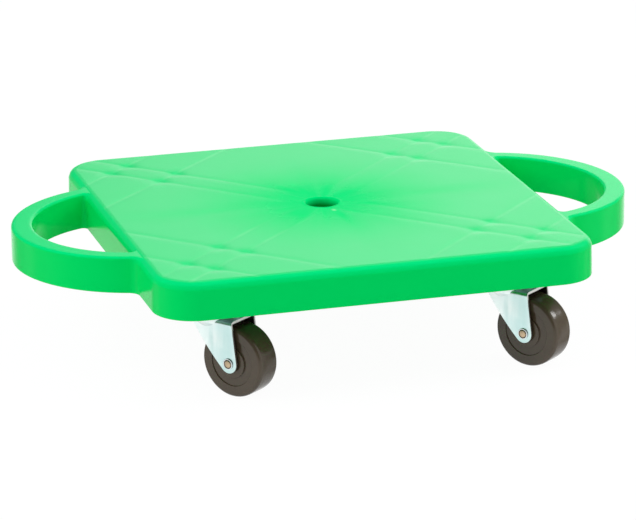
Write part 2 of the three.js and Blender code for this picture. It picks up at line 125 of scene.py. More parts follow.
# Marks that cooling leaves in the deck's top, over the ribs, the bosses and the gate
RIB_SINK_DEPTH = 0.18
RIB_SINK_WIDTH = 2.2
AXIS_SINK_DEPTH = 0.3
AXIS_SINK_WIDTH = 8
AXIS_SINK_REACH = 70
HOLE_SINK_DEPTH = 0.6
HOLE_SINK_WIDTH = 20
BOSS_SINK_DEPTH = 0.6
BOSS_SINK_WIDTH = 4.6
GATE_PLACE = (2.5, -20.9)
GATE_HEIGHT = 0.35
GATE_WIDTH = 0.8
TOP_GRID_COARSE = 2.2
TOP_GRID_FINE = 0.75
TOP_GRID_REACH = 3.3
TOP_GRID_MARGIN = 1.2
TOP_RING_COUNT = 8
TOP_RING_GROWTH = 1.08

# Mounting plate and screws
SCREW_SPACING_LONG = 40.9
SCREW_SPACING_WIDE = 21.4
PLATE_GAP = 0.3
PLATE_MARGIN = 6.8
PLATE_CORNER_RADIUS = 6
PLATE_EDGE_RADIUS = 0.35
PLATE_THICKNESS = 2
SCREW_HOLE_RADIUS = 2.6
SCREW_RADIUS = 1.9
SCREW_HEAD_RADIUS = 4
SCREW_HEAD_HEIGHT = 2.5
SCREW_HEAD_ROUND = 1.2
SCREW_POINT = 2
SLOT_LENGTH = 4.6
SLOT_WIDTH = 1
SLOT_DEPTH = 1.4
SLOT_FOOT_SHARE = 0.55
SLOT_MOUTH_SHARE = 1.2

# Swivel bearing
RECESS_RADIUS = 10.17
RECESS_UNDER = 57.73
RECESS_OUTER_ROUND = 1.2
RECESS_INNER_ROUND = 0.8
RACE_CONE_SPREAD = 2.8
BALL_CLEARANCE = 0.2
UPPER_BALL_RADIUS = 2
UPPER_BALL_COUNT = 9
UPPER_PITCH = 11.8
LOWER_BALL_RADIUS = 1.4
LOWER_BALL_COUNT = 6
LOWER_PITCH = 6
CAGE_HALF = 0.4
DOME_RADIUS = 9.6
DOME_TOP = 57.13
DOME_ROUND = 1.2
DOME_INNER_ROUND = 1
DOME_FOOT_ROUND = 0.6
RIM_INNER_RADIUS = 14.1
DISH_RADIUS = 15.6
RIM_HEIGHT = 1.2
RIM_ROUND = 0.5
RIM_FOOT_ROUND = 0.8
SKIRT_DEPTH = 6
SKIRT_FOOT = 1.5
SKIRT_ROUND = 3.5
LOWER_RACE_RADIUS = 7.6
LOWER_RACE_BEVEL = 0.75
LOWER_RACE_ROUND = 0.4
KING_PIN_RADIUS = 3.8
KING_PIN_HEAD_RADIUS = 6
KING_PIN_HEAD_HEIGHT = 2.2
KING_PIN_HEAD_ROUND = 1.4
KING_PIN_FOOT_RADIUS = 5.6
KING_PIN_FOOT_HEIGHT = 1.8
KING_PIN_FOOT_BEVEL = 0.8
KING_PIN_FOOT_ROUND = 0.6
KING_PIN_RING_RADIUS = 4.3
KING_PIN_RING_ROUND = 0.8
KING_PIN_DIMPLE_RADIUS = 2.6
KING_PIN_DIMPLE_FLOOR = 2
KING_PIN_DIMPLE_DEPTH = 0.5
PIN_HOLE_RADIUS = 4.1

# Fork
FORK_SHEET = 1.8
FORK_BEND_INSIDE = 1.2
FORK_FRONT_LEAD = 2.6
FORK_REAR_REACH = 12.7
LEG_TIP_RADIUS = 6.5
LEG_REAR_BULGE = 2.6
LEG_OUTER = 13.3
LEG_INNER = LEG_OUTER - FORK_SHEET
CROWN_TOP = 53.9
SHEET_EDGE_RADIUS = 0.3
SHEET_EDGE_ANGLE = 50

# Wheel, bushing and axle
WHEEL_HALF = 9.65
WHEEL_SHOULDER = 2.9
WHEEL_CROWN = 0.32
WHEEL_TREAD_ROUND = 12
WHEEL_RECESS_DEPTH = 0.75
WHEEL_RECESS_WIDTH = 5.7
WHEEL_BORE = 4.9
HUB_RADIUS = 10.6
HUB_RISE = 0.55
HUB_TAPER = 0.1
HUB_ROUND = 0.35
BUSHING_BORE = 3.4
BUSHING_RADIUS = 4.6
BUSHING_RISE = 1
AXLE_RADIUS = 3
AXLE_HOLE_CLEARANCE = 0.2
AXLE_HEAD_RADIUS = 3.8
AXLE_HEAD_SEAT = 0.3
AXLE_HEAD_HEIGHT = 0.9
AXLE_COLLAR_HEIGHT = 0.5
AXLE_GROOVE_HALF = 0.1
AXLE_GROOVE_FLOOR = 0.15
AXLE_DOME_FOOT_INSET = 0.4
AXLE_DOME_INSET = 0.45
AXLE_DOME_DROP = 0.3
AXLE_DOME_ROUND = 0.5

# How far a cut runs past, and how close two points have to be to be one
OVERRUN = 4
SMALL_OVERRUN = 1
MERGE_DISTANCE = 0.004

# Small fillets
BROKEN_EDGE = 0.1
FINE_EDGE = 0.15
SMALL_EDGE = 0.2
SOFT_EDGE = 0.3

# Places that follow from the sizes
HANDLE_TOP = DECK_TOP - HANDLE_DROP
SKIN_UNDER = DECK_TOP - DECK_SKIN
RIB_FOOT = DECK_BOTTOM + RIB_SETBACK
CORNER_CENTRE = DECK_HALF - DECK_CORNER_RADIUS
LIP_RADIUS = ROPE_HOLE_RADIUS + ROPE_HOLE_LIP
PLATE_TOP = DECK_BOTTOM - PLATE_GAP
PLATE_UNDER = PLATE_TOP - PLATE_THICKNESS
CROWN_UNDER = CROWN_TOP - FORK_SHEET
DOME_UNDER = DOME_TOP - FORK_SHEET
swivel_place, _ = joint_place("front_right_swivel_turn")
wheel_place, wheel_axis = joint_place("front_right_wheel_spin")
CASTER_OFFSET = swivel_place.x
AXLE_LEVEL = wheel_place.z
WHEEL_RADIUS = AXLE_LEVEL
FORK_TRAIL = (wheel_place - swivel_place).to_2d().length
CASTER_HEADING = math.atan2(-wheel_axis.x, wheel_axis.y)
CASTER_DISTANCE = CASTER_OFFSET * math.sqrt(2)
INNER_RIB_ACROSS = CASTER_DISTANCE - SCREW_SPACING_LONG / 2
OUTER_RIB_ACROSS = CASTER_DISTANCE + SCREW_SPACING_LONG / 2
DIAGONAL_RIB = SCREW_SPACING_WIDE / 2
CASTERS = {
    "front_left": (-1, -1),
    "front_right": (1, -1),
    "rear_left": (-1, 1),
    "rear_right": (1, 1),
}


# Outlines and meshes
def arc(centre, radius, start, end, steps):
    """Points of an arc, both ends included."""
    turns = np.linspace(start, end, steps + 1)
    return np.column_stack([centre[0] + radius * np.cos(turns), centre[1] + radius * np.sin(turns)])


def circle(radius, sides, centre=(0, 0)):
    return arc(centre, radius, 0, WHOLE, sides)[:-1]


def line(start, end, steps):
    """Points from start to end, both included."""
    share = np.linspace(0, 1, steps + 1)[:, None]
    return np.array(start) * (1 - share) + np.array(end) * share


def spun(outline, turn):
    """An outline turned about the origin."""
    return np.array(outline) @ [[math.cos(turn), math.sin(turn)], [-math.sin(turn), math.cos(turn)]]


def rounded_rectangle(half_x, half_y, corner, steps):
    x, y = half_x - corner, half_y - corner
    middles = [(x, y), (-x, y), (-x, -y), (x, -y)]
    return np.vstack([
        arc(middle, corner, k * QUARTER, (k + 1) * QUARTER, steps) for k, middle in enumerate(middles)
    ])


def filleted(corners, steps):
    """A profile with its corners rounded. Each corner is (x, y, radius)."""
    count = len(corners)
    points = []
    for k, (x, y, radius) in enumerate(corners):
        here = Vector((x, y))
        before = Vector(corners[k - 1][:2]) - here
        after = Vector(corners[(k + 1) % count][:2]) - here
        if radius == 0 or before.length == 0 or after.length == 0:
            points.append((x, y))
            continue
        half_angle = before.angle(after) / 2
        before.normalize()
        after.normalize()
        start = here + before * radius / math.tan(half_angle)
        end = here + after * radius / math.tan(half_angle)
        middle = here + (before + after).normalized() * radius / math.sin(half_angle)
        first = start - middle
        sweep = first.angle_signed(end - middle)
        for step in range(steps + 1):
            spoke = first.copy()
            spoke.rotate(Matrix.Rotation(-sweep * step / steps, 2))
            points.append(tuple(middle + spoke))
    return points


def both_ends(half):
    """The corners of a profile that is alike above and below, from those of its upper half."""
    return [*((radius, -along, fillet) for radius, along, fillet in half[::-1]), *half]


def mesh_object(name, points, faces):
    """A mesh from points in millimetres, with its double points merged and its faces pointing out."""
    mesh = bpy.data.meshes.new(name)
    mesh.from_pydata([tuple(float(c) * MM for c in p) for p in points], [], [list(f) for f in faces])
    shape = bmesh.new()
    shape.from_mesh(mesh)
    bmesh.ops.remove_doubles(shape, verts=shape.verts, dist=MERGE_DISTANCE * MM)
    bmesh.ops.recalc_face_normals(shape, faces=shape.faces)
    shape.to_mesh(mesh)
    shape.free()
    made = bpy.data.objects.new(name, mesh)
    bpy.context.scene.collection.objects.link(made)
    return made


def ring_faces(low, high, closed=True):
    """Quads between two rows of point numbers."""
    count = len(low)
    return [
        (low[k], low[(k + 1) % count], high[(k + 1) % count], high[k])
        for k in range(count if closed else count - 1)
    ]


class Surface:
    """Points and faces of one mesh while it is being made."""

    def __init__(self):
        self.points = []
        self.faces = []

    def row(self, outline, level):
        """Adds a row of points and returns their numbers. The level is one height, or one for each point."""
        first = len(self.points)
        levels = np.broadcast_to(level, len(outline))
        self.points.extend((x, y, z) for (x, y), z in zip(outline, levels))
        return list(range(first, len(self.points)))

    def skin(self, rows, closed=True):
        for low, high in zip(rows, rows[1:]):
            self.faces.extend(ring_faces(low, high, closed))

    def loft(self, levels):
        """Adds a closed body through outlines of equal count, each with its level, lowest first."""
        rows = [self.row(outline, level) for outline, level in levels]
        self.skin(rows)
        self.faces.append(rows[0][::-1])
        self.faces.append(rows[-1])

    def turn(self, profile, sides, centre=(0, 0)):
        """Adds a body turned about the vertical line through centre. The profile holds (radius, level)."""
        rows = []
        for radius, level in profile:
            if radius < MERGE_DISTANCE:
                rows.append([self.row([centre], level)[0]] * sides)
            else:
                rows.append(self.row(circle(radius, sides, centre), level))
        for low, high in zip(rows, rows[1:]):
            for face in ring_faces(low, high):
                corners = list(dict.fromkeys(face))
                if len(corners) > 2:
                    self.faces.append(corners)

    def made(self, name):
        return mesh_object(name, self.points, self.faces)


def turned_object(name, corners, sides, hollow=False, steps=5):
    """A body turned from the filleted corners of its profile, which closes on itself where it is hollow."""
    profile = filleted(corners, steps)
    surface = Surface()
    surface.turn([*profile, profile[0]] if hollow else profile, sides)
    return surface.made(name)


def extruded(name, outline, start, end, place):
    """An outline drawn out from start to end. The place function puts (a, b, depth) in the piece's axes."""
    surface = Surface()
    surface.loft([(outline, start), (outline, end)])
    surface.points = [place(*p) for p in surface.points]
    return surface.made(name)


def posts(name, radius, low, high, sides, places):
    """Upright cylinders, one at each place."""
    surface = Surface()
    for place in places:
        surface.turn([(0, low), (radius, low), (radius, high), (0, high)], sides, place)
    return surface.made(name)


def settle(piece):
    """Applies a piece's modifiers."""
    graph = bpy.context.evaluated_depsgraph_get()
    mesh = bpy.data.meshes.new_from_object(piece.evaluated_get(graph))
    old = piece.data
    piece.modifiers.clear()
    piece.data = mesh
    bpy.data.meshes.remove(old)


def combine(piece, tool, operation):
    """Cuts, joins or crosses a piece with a tool, which is then removed."""
    step = piece.modifiers.new("combine", "BOOLEAN")
    step.operation = operation
    step.solver = "MANIFOLD"
    step.object = tool
    settle(piece)
    bpy.data.objects.remove(tool)


def drill(piece, radius, low, high, sides, places):
    """Cuts a round hole at each place."""
    combine(piece, posts("drill", radius, low, high, sides, places), "DIFFERENCE")


def rounded_edges(piece, width, angle):
    step = piece.modifiers.new("edges", "BEVEL")
    step.width = width * MM
    step.segments = 2
    step.limit_method = "ANGLE"
    step.angle_limit = math.radians(angle)
    settle(piece)


def smooth(piece, angle=35):
    """Smooth shading, with creases sharper than the angle kept. Returns the piece."""
    piece.data.shade_smooth()
    piece.data.set_sharp_from_angle(angle=math.radians(angle))
    step = piece.modifiers.new("normals", "WEIGHTED_NORMAL")
    step.keep_sharp = True
    return piece


# Deck
def edge_inset(level, top, radius):
    """How far a rounded top edge stands in at a level."""
    share = min(max(level - top + radius, 0) / radius, 1)
    return radius * (1 - math.sqrt(1 - share * share))


def foot_inset(level):
    """How far a wall's rounded foot stands in at a level."""
    return edge_inset(-level, -DECK_BOTTOM, BOTTOM_EDGE_RADIUS)


def deck_inset(level):
    """How far the deck's side stands in at a level: its draft, its rounded top edge and its foot."""
    draft = DECK_DRAFT * (level - DECK_BOTTOM) / (DECK_TOP - DECK_BOTTOM)
    return draft + edge_inset(level, DECK_TOP, DECK_EDGE_RADIUS) + foot_inset(level)


def grip_inset(level):
    """How far the handle's walls stand in at a level."""
    return edge_inset(level, HANDLE_TOP, GRIP_EDGE_RADIUS) + foot_inset(level)


def edge_levels(top, radius, start, end, steps):
    """Levels over a rounded top edge, from one turn of its arc to another."""
    return [top - radius * (1 - math.sin(turn)) for turn in np.linspace(start, end, steps + 1)]


def bow_radius(reach, spread):
    """Radius of the arc that stands out by its reach from a straight edge it meets over its spread."""
    return (reach * reach + spread * spread / 4) / (2 * reach)


HOLE_REACH = HANDLE_REACH - GRIP_WIDTH
OUTER_BOW = bow_radius(HANDLE_REACH, HANDLE_SPREAD)
INNER_BOW = bow_radius(HOLE_REACH, HANDLE_SPREAD - 2 * GRIP_ROOT_WIDTH)
OUTER_MIDDLE = DECK_HALF + HANDLE_REACH - OUTER_BOW
INNER_MIDDLE = DECK_HALF + HOLE_REACH - INNER_BOW

# Each wall of the handle: 1 where its root blends lie outside its bow and -1 where they lie inside, the
# bow's radius and middle, and the radius of the blends
OUTER_WALL = (1, OUTER_BOW, OUTER_MIDDLE, OUTER_ROOT_RADIUS)
INNER_WALL = (-1, INNER_BOW, INNER_MIDDLE, INNER_ROOT_RADIUS)

# How finely the deck is cut
SIDE_STEPS = 36
CORNER_STEPS = 16
BESIDE_STEPS = 14
ROOT_STEPS = 6
HOLE_STEPS = 44
BLEND_STEPS = 10
BOW_STEPS = 72
LIP_STEPS = 8
ROUND_SIDES = 96

# Where the handle's roots and the hand hole begin and end in the points of the right half
FIRST_ROOT = SIDE_STEPS + CORNER_STEPS + BESIDE_STEPS
FIRST_HOLE = FIRST_ROOT + ROOT_STEPS
LAST_HOLE = FIRST_HOLE + HOLE_STEPS
LAST_ROOT = LAST_HOLE + ROOT_STEPS


def wall_root(level, wall):
    """A handle wall's radius at a level, its blends' radius and the middle of the blend at its back."""
    way, radius, middle, blend = wall
    inset = grip_inset(level)
    radius -= way * inset
    blend += inset
    x = DECK_HALF - deck_inset(level) + blend
    y = math.sqrt((radius + way * blend) ** 2 - (x - middle) ** 2)
    return radius, blend, x, y


def handle_wall(level, wall):
    """A wall of the right handle from its front root to its back one, with both blends."""
    way, _, middle, _ = wall
    radius, blend, x, y = wall_root(level, wall)
    touch = math.atan2(-y, x - middle)
    front = arc((x, -y), blend, way * math.pi, touch + max(way, 0) * math.pi, BLEND_STEPS)
    bow = arc((middle, 0), radius, touch, -touch, BOW_STEPS)
    return np.vstack([front[:-1], bow[:-1], (front * (1, -1))[::-1]])


def right_half(level):
    """The deck's outline from the middle of the front to the middle of the back, by way of the right."""
    inset = deck_inset(level)
    side = DECK_HALF - inset
    corner = DECK_CORNER_RADIUS - inset
    outer_y, inner_y = (wall_root(min(level, HANDLE_TOP), wall)[3] for wall in (OUTER_WALL, INNER_WALL))
    stretches = [
        line((0, -side), (CORNER_CENTRE, -side), SIDE_STEPS),
        arc((CORNER_CENTRE, -CORNER_CENTRE), corner, -QUARTER, 0, CORNER_STEPS),
        line((side, -CORNER_CENTRE), (side, -outer_y), BESIDE_STEPS),
        line((side, -outer_y), (side, -inner_y), ROOT_STEPS),
    ]
    front = np.vstack([stretch[:-1] for stretch in stretches])
    beside_hole = line((side, -inner_y), (side, inner_y), HOLE_STEPS)
    return np.vstack([front, beside_hole, (front * (1, -1))[:0:-1]])


def both_sides(outline):
    """An outline of the right half, followed by the same turned to the left half."""
    return np.vstack([outline, -outline])


def outer_loop(level):
    """The whole outline with the handles, at a level no higher than their top."""
    half = right_half(level)
    return both_sides(np.vstack([half[:FIRST_ROOT], handle_wall(level, OUTER_WALL), half[LAST_ROOT + 1 :]]))


def hole_loop(level):
    """The right hand hole's outline."""
    return np.vstack([right_half(level)[FIRST_HOLE:LAST_HOLE], handle_wall(level, INNER_WALL)[:0:-1]])


def ridge(distance, width):
    return np.exp(-0.5 * (distance / width) ** 2)


def top_height(points):
    """How far the deck's top stands above its level plane: sink marks over ribs and bosses, and the gate."""
    points = np.asarray(points, float)
    x, y = np.abs(points[:, 0]), np.abs(points[:, 1])
    u = (x + y) / math.sqrt(2)
    v = np.abs(y - x) / math.sqrt(2) - DIAGONAL_RIB
    near_hole = ridge(np.hypot(x, y), HOLE_SINK_WIDTH)
    axis_x = ridge(y, AXIS_SINK_WIDTH) * ridge(x, AXIS_SINK_REACH)
    axis_y = ridge(x, AXIS_SINK_WIDTH) * ridge(y, AXIS_SINK_REACH)
    height = -AXIS_SINK_DEPTH * np.maximum(axis_x, axis_y) - HOLE_SINK_DEPTH * near_hole
    ribs = ridge(v, RIB_SINK_WIDTH)
    for place in (INNER_RIB_ACROSS, OUTER_RIB_ACROSS):
        ribs = np.maximum(ribs, ridge(u - place, RIB_SINK_WIDTH))
        height -= BOSS_SINK_DEPTH * ridge(np.hypot(u - place, v), BOSS_SINK_WIDTH)
    height -= RIB_SINK_DEPTH * ribs * (1 - near_hole)
    gate = np.hypot(points[:, 0] - GATE_PLACE[0], points[:, 1] - GATE_PLACE[1])
    return height + GATE_HEIGHT * ridge(gate, GATE_WIDTH)


def grid_lines(reach):
    """Places of grid lines, closer together over the ribs."""
    ribs = [side * rib for rib in (DIAGONAL_RIB, INNER_RIB_ACROSS, OUTER_RIB_ACROSS) for side in (-1, 1)]
    places = [0.0]
    while places[-1] < reach:
        near = min(abs(places[-1] - rib) for rib in ribs)
        places.append(places[-1] + (TOP_GRID_FINE if near < TOP_GRID_REACH else TOP_GRID_COARSE))
    return np.array([-p for p in places[:0:-1]] + places)


def top_points():
    """Points over the deck's flat top: circles near the rope hole, and a grid along the diagonals outside."""
    lines = grid_lines(CORNER_CENTRE * math.sqrt(2) + DECK_CORNER_RADIUS)
    u, v = (axis.ravel() for axis in np.meshgrid(lines, lines))
    points = np.column_stack([(u - v) / math.sqrt(2), (u + v) / math.sqrt(2)])
    corner = np.maximum(np.abs(points) - CORNER_CENTRE, 0)
    edge = np.hypot(corner[:, 0], corner[:, 1])
    reach = DECK_HALF - deck_inset(DECK_TOP) - CORNER_CENTRE - TOP_GRID_MARGIN
    radii = [LIP_RADIUS * TOP_RING_GROWTH**k for k in range(1, TOP_RING_COUNT + 1)]
    clear = np.hypot(points[:, 0], points[:, 1]) > radii[-1] + TOP_GRID_MARGIN
    rings = [circle(radius, ROUND_SIDES) for radius in radii]
    return np.vstack([*rings, points[(edge < reach) & clear]])


def deck_top(surface):
    """The flat top between its rounded edge and the rope hole's lip."""
    rim = both_sides(right_half(DECK_TOP))
    lip = circle(LIP_RADIUS, ROUND_SIDES)
    points = np.vstack([rim, lip, top_points()])
    edges = [(k, (k + 1) % len(rim)) for k in range(len(rim))]
    edges += [(len(rim) + k, len(rim) + (k + 1) % len(lip)) for k in range(len(lip))]
    found = delaunay_2d_cdt([Vector(p) for p in points], edges, [], 0, 1e-5)
    plan = np.array([tuple(p) for p in found[0]])
    row = surface.row(plan, DECK_TOP + top_height(plan))
    for face in found[2]:
        if math.hypot(*plan[list(face)].mean(axis=0)) > LIP_RADIUS - MERGE_DISTANCE:
            surface.faces.append([row[k] for k in face])


def fallen_row(surface, outline, level):
    """A row of points whose levels fall a little towards the handles' outer ends, most at their top."""
    out = np.clip((np.abs(outline[:, 0]) - DECK_HALF) / HANDLE_REACH, 0, 1)
    share = (level - DECK_BOTTOM) / (HANDLE_TOP - DECK_BOTTOM)
    return surface.row(outline, level - HANDLE_FALL * out * share)


def marked_row(surface, outline, level, share):
    """A row of points that takes a share, from 0 to 1, of the marks in the deck's top."""
    return surface.row(outline, level + share * share * top_height(outline))


def deck_walls(surface):
    """The deck's and the handles' outer walls, the hand holes' walls and the handles' tops."""
    levels = [DECK_BOTTOM + share * BOTTOM_EDGE_RADIUS for share in (0, 0.3, 1)]
    levels += [DECK_TOP - share * DECK_EDGE_RADIUS for share in (1, 0.8)]
    levels += edge_levels(HANDLE_TOP, GRIP_EDGE_RADIUS, 0, QUARTER, 5)
    surface.skin([fallen_row(surface, outer_loop(level), level) for level in levels])
    outside, inside = handle_wall(HANDLE_TOP, OUTER_WALL), handle_wall(HANDLE_TOP, INNER_WALL)
    bands = [outside * (1 - share) + inside * share for share in np.linspace(0, 1, ROOT_STEPS + 1)]
    for side in (1, -1):
        surface.skin([fallen_row(surface, side * hole_loop(level), level) for level in levels])
        surface.skin([fallen_row(surface, side * band, HANDLE_TOP) for band in bands], closed=False)
    edge_foot = math.asin(1 - HANDLE_DROP / DECK_EDGE_RADIUS)
    surface.skin([
        marked_row(surface, both_sides(right_half(level)), level, (level - HANDLE_TOP) / HANDLE_DROP)
        for level in edge_levels(DECK_TOP, DECK_EDGE_RADIUS, edge_foot, QUARTER, 6)
    ])


def rope_hole(surface):
    """The rope hole's bore with its rounded lip."""
    rows = [
        surface.row(circle(ROPE_HOLE_RADIUS + BOTTOM_EDGE_RADIUS, ROUND_SIDES), DECK_BOTTOM),
        surface.row(circle(ROPE_HOLE_RADIUS, ROUND_SIDES), DECK_BOTTOM + BOTTOM_EDGE_RADIUS),
    ]
    for turn in np.linspace(0, QUARTER, LIP_STEPS + 1):
        share = 1 - math.cos(turn)
        outline = circle(ROPE_HOLE_RADIUS + ROPE_HOLE_LIP * share, ROUND_SIDES)
        level = DECK_TOP - ROPE_HOLE_LIP * (1 - math.sin(turn))
        rows.append(marked_row(surface, outline, level, share if level > HANDLE_TOP else 0))
    surface.skin(rows)


def deck_floor(surface):
    """The deck's underside before it is hollowed."""
    rope = circle(ROPE_HOLE_RADIUS + BOTTOM_EDGE_RADIUS, ROUND_SIDES)
    hole = hole_loop(DECK_BOTTOM)
    loops = [outer_loop(DECK_BOTTOM), hole, -hole, rope]
    row = surface.row(np.vstack(loops), DECK_BOTTOM)
    for face in tessellate_polygon([[Vector((x, y, 0)) for x, y in loop] for loop in loops]):
        surface.faces.append([row[k] for k in face])


def rounded_polygon(sides, inset):
    """A convex outline with rounded corners. Each side is (its outward direction in degrees, its distance
    from the origin, the radius of the corner after it). The deck's own corner shrinks with the inset."""
    points = []
    for k, (turn, distance, radius) in enumerate(sides):
        next_turn, next_distance, _ = sides[(k + 1) % len(sides)]
        first, second = math.radians(turn), math.radians(next_turn)
        while second < first:
            second += WHOLE
        rounding = radius - inset if radius > POCKET_CORNER_RADIUS else radius
        lines = [[math.cos(first), math.sin(first)], [math.cos(second), math.sin(second)]]
        centre = np.linalg.solve(lines, np.array([distance, next_distance]) - inset - rounding)
        points.extend(arc(centre, rounding, first, second, 4))
    return np.array(points)


def pocket_plans():
    """The hollows between the ribs of the deck's first quadrant: on the diagonal, and to one side of it."""
    wall = DECK_HALF - DECK_WALL
    corner = DECK_CORNER_RADIUS - DECK_WALL
    small = POCKET_CORNER_RADIUS
    beside = DIAGONAL_RIB + RIB_HALF
    between = DIAGONAL_RIB - RIB_HALF

    def corner_side(turn, radius):
        """A side that touches the corner's arc."""
        reach = CORNER_CENTRE * (math.cos(math.radians(turn)) + math.sin(math.radians(turn))) + corner
        return (turn, reach, radius)

    def clear_turn(offset):
        """Where the corner's arc crosses a line beside the diagonal, in degrees."""
        return 45 - math.degrees(math.asin(offset / corner))

    side_turn = clear_turn(beside) - CORNER_ARC_MARGIN
    end_turn = clear_turn(between) + CORNER_ARC_MARGIN
    hole = -(ROPE_HOLE_RADIUS + ROPE_TUBE_WALL) * POCKET_START_SHARE
    spans = [
        (None, INNER_RIB_ACROSS - RIB_HALF),
        (INNER_RIB_ACROSS + RIB_HALF, OUTER_RIB_ACROSS - RIB_HALF),
        (OUTER_RIB_ACROSS + RIB_HALF, None),
    ]
    diagonal, beside_it = [], []
    for near, far in spans:
        inner = (270, -RIB_HALF, small) if near is None else (225, -near, small)
        if far is None:
            outer = [(0, wall, corner), corner_side(side_turn, small)]
            ends = [corner_side(end_turn, corner), corner_side(90 - end_turn, small)]
        else:
            outer = [(0, wall, small), (45, far, small)]
            ends = [(45, far, small)]
        beside_it.append([inner, *outer, (135, -beside, small)])
        start = hole if near is None else -near
        diagonal.append([(225, start, small), (315, between, small), *ends, (135, between, small)])
    return diagonal, beside_it


def pockets():
    """All the hollows between the ribs as one body of separate lofts."""
    steps = [(RIB_FOOT - SMALL_OVERRUN, -RIB_TIP_CHAMFER), (RIB_FOOT, -RIB_TIP_CHAMFER)]
    steps.append((RIB_FOOT + RIB_TIP_HEIGHT, 0))
    for turn in np.linspace(0, QUARTER, 4):
        level = SKIN_UNDER - RIB_ROOT_RADIUS * (1 - math.sin(turn))
        steps.append((level, RIB_DRAFT + RIB_ROOT_RADIUS * (1 - math.cos(turn))))
    surface = Surface()
    diagonal, beside_it = pocket_plans()
    for quadrant in range(4):
        for plan in diagonal + beside_it:
            outlines = [rounded_polygon(plan, inset) for _, inset in steps]
            mirrored = [outline[::-1, ::-1] for outline in outlines]
            for version in [outlines, mirrored] if plan in beside_it else [outlines]:
                turned = [spun(outline, quadrant * QUARTER) for outline in version]
                surface.loft([(outline, level) for outline, (level, _) in zip(turned, steps)])
    return surface.made("pockets")


def rib_relief():
    """The shallow space under the ribs, which stop short of the deck's foot."""
    half = DECK_HALF - DECK_WALL
    outline = rounded_rectangle(half, half, DECK_CORNER_RADIUS - DECK_WALL, 12)
    surface = Surface()
    surface.loft([(outline, DECK_BOTTOM - OVERRUN), (outline, RIB_FOOT)])
    return surface.made("rib_relief")


def screw_places():
    """The places of one plate's screws, along and across the plate."""
    half = SCREW_SPACING_LONG / 2
    return [(along * half, across * DIAGONAL_RIB) for along in (-1, 1) for across in (-1, 1)]


def screw_points():
    """The places of all the screws under the deck."""
    return np.vstack([
        spun(screw_places(), math.atan2(y, x)) + (x * CASTER_OFFSET, y * CASTER_OFFSET)
        for x, y in CASTERS.values()
    ])


def kept_posts():
    """The bosses and the rope hole's tube, which the hollows leave standing."""
    low, high = DECK_BOTTOM - 2 * OVERRUN, DECK_TOP
    bosses = posts("bosses", BOSS_RADIUS, low, high, 32, screw_points())
    tube = posts("tube", ROPE_HOLE_RADIUS + ROPE_TUBE_WALL, low, high, ROUND_SIDES, [(0, 0)])
    combine(bosses, tube, "UNION")
    return bosses


def channel_cell(start, end, inset=0, steps=14):
    """The plan of the space between two of the handle's ribs."""
    turns = np.linspace(start, end, steps + 1)
    radius = OUTER_BOW - HANDLE_WALL - inset
    shift = INNER_MIDDLE - OUTER_MIDDLE
    reach = -shift * np.cos(turns) + np.sqrt(radius**2 - (shift * np.sin(turns)) ** 2)
    inner = arc((INNER_MIDDLE, 0), INNER_BOW + HANDLE_WALL + inset, start, end, steps)
    outer = np.column_stack([INNER_MIDDLE + reach * np.cos(turns), reach * np.sin(turns)])
    return np.vstack([outer, inner[::-1]])


# The channels' rounded roof: how far below its top, and how far in
CHANNEL_ROOF = ((1, 0.2), (0.3, 0.5), (0, 1.2))


def channels():
    """The hollows under both handles."""
    radius = INNER_BOW + HANDLE_WALL
    half_turn = HANDLE_RIB_HALF / radius
    ribs = [k * HANDLE_RIB_TURN for k in range(-HANDLE_RIB_PAIRS, HANDLE_RIB_PAIRS + 1)]
    starts = [-HANDLE_END_TURN] + [rib + half_turn for rib in ribs]
    ends = [rib - half_turn for rib in ribs] + [HANDLE_END_TURN]
    steps = [(RIB_FOOT - SMALL_OVERRUN, 0), (RIB_FOOT, 0)]
    steps += [(HANDLE_TOP - HANDLE_WALL - below, inset) for below, inset in CHANNEL_ROOF]
    cells, relief = Surface(), Surface()
    whole = channel_cell(-HANDLE_END_TURN, HANDLE_END_TURN, steps=60)
    for side in (1, -1):
        for start, end in zip(starts, ends):
            cells.loft([
                (side * channel_cell(start + inset / radius, end - inset / radius, inset), level)
                for level, inset in steps
            ])
        relief.loft([(side * whole, DECK_BOTTOM - OVERRUN), (side * whole, RIB_FOOT)])
    hollow = cells.made("channels")
    combine(hollow, relief.made("channel_relief"), "UNION")
    return hollow


def make_deck():
    surface = Surface()
    for build in (deck_top, deck_walls, rope_hole, deck_floor):
        build(surface)
    deck = surface.made("deck_visual")
    for tool in (pockets(), rib_relief()):
        combine(tool, kept_posts(), "DIFFERENCE")
        combine(deck, tool, "DIFFERENCE")
    combine(deck, channels(), "DIFFERENCE")
    drill(deck, PILOT_RADIUS, DECK_BOTTOM - OVERRUN, PILOT_TOP, 16, screw_points())
    return smooth(deck, 42)


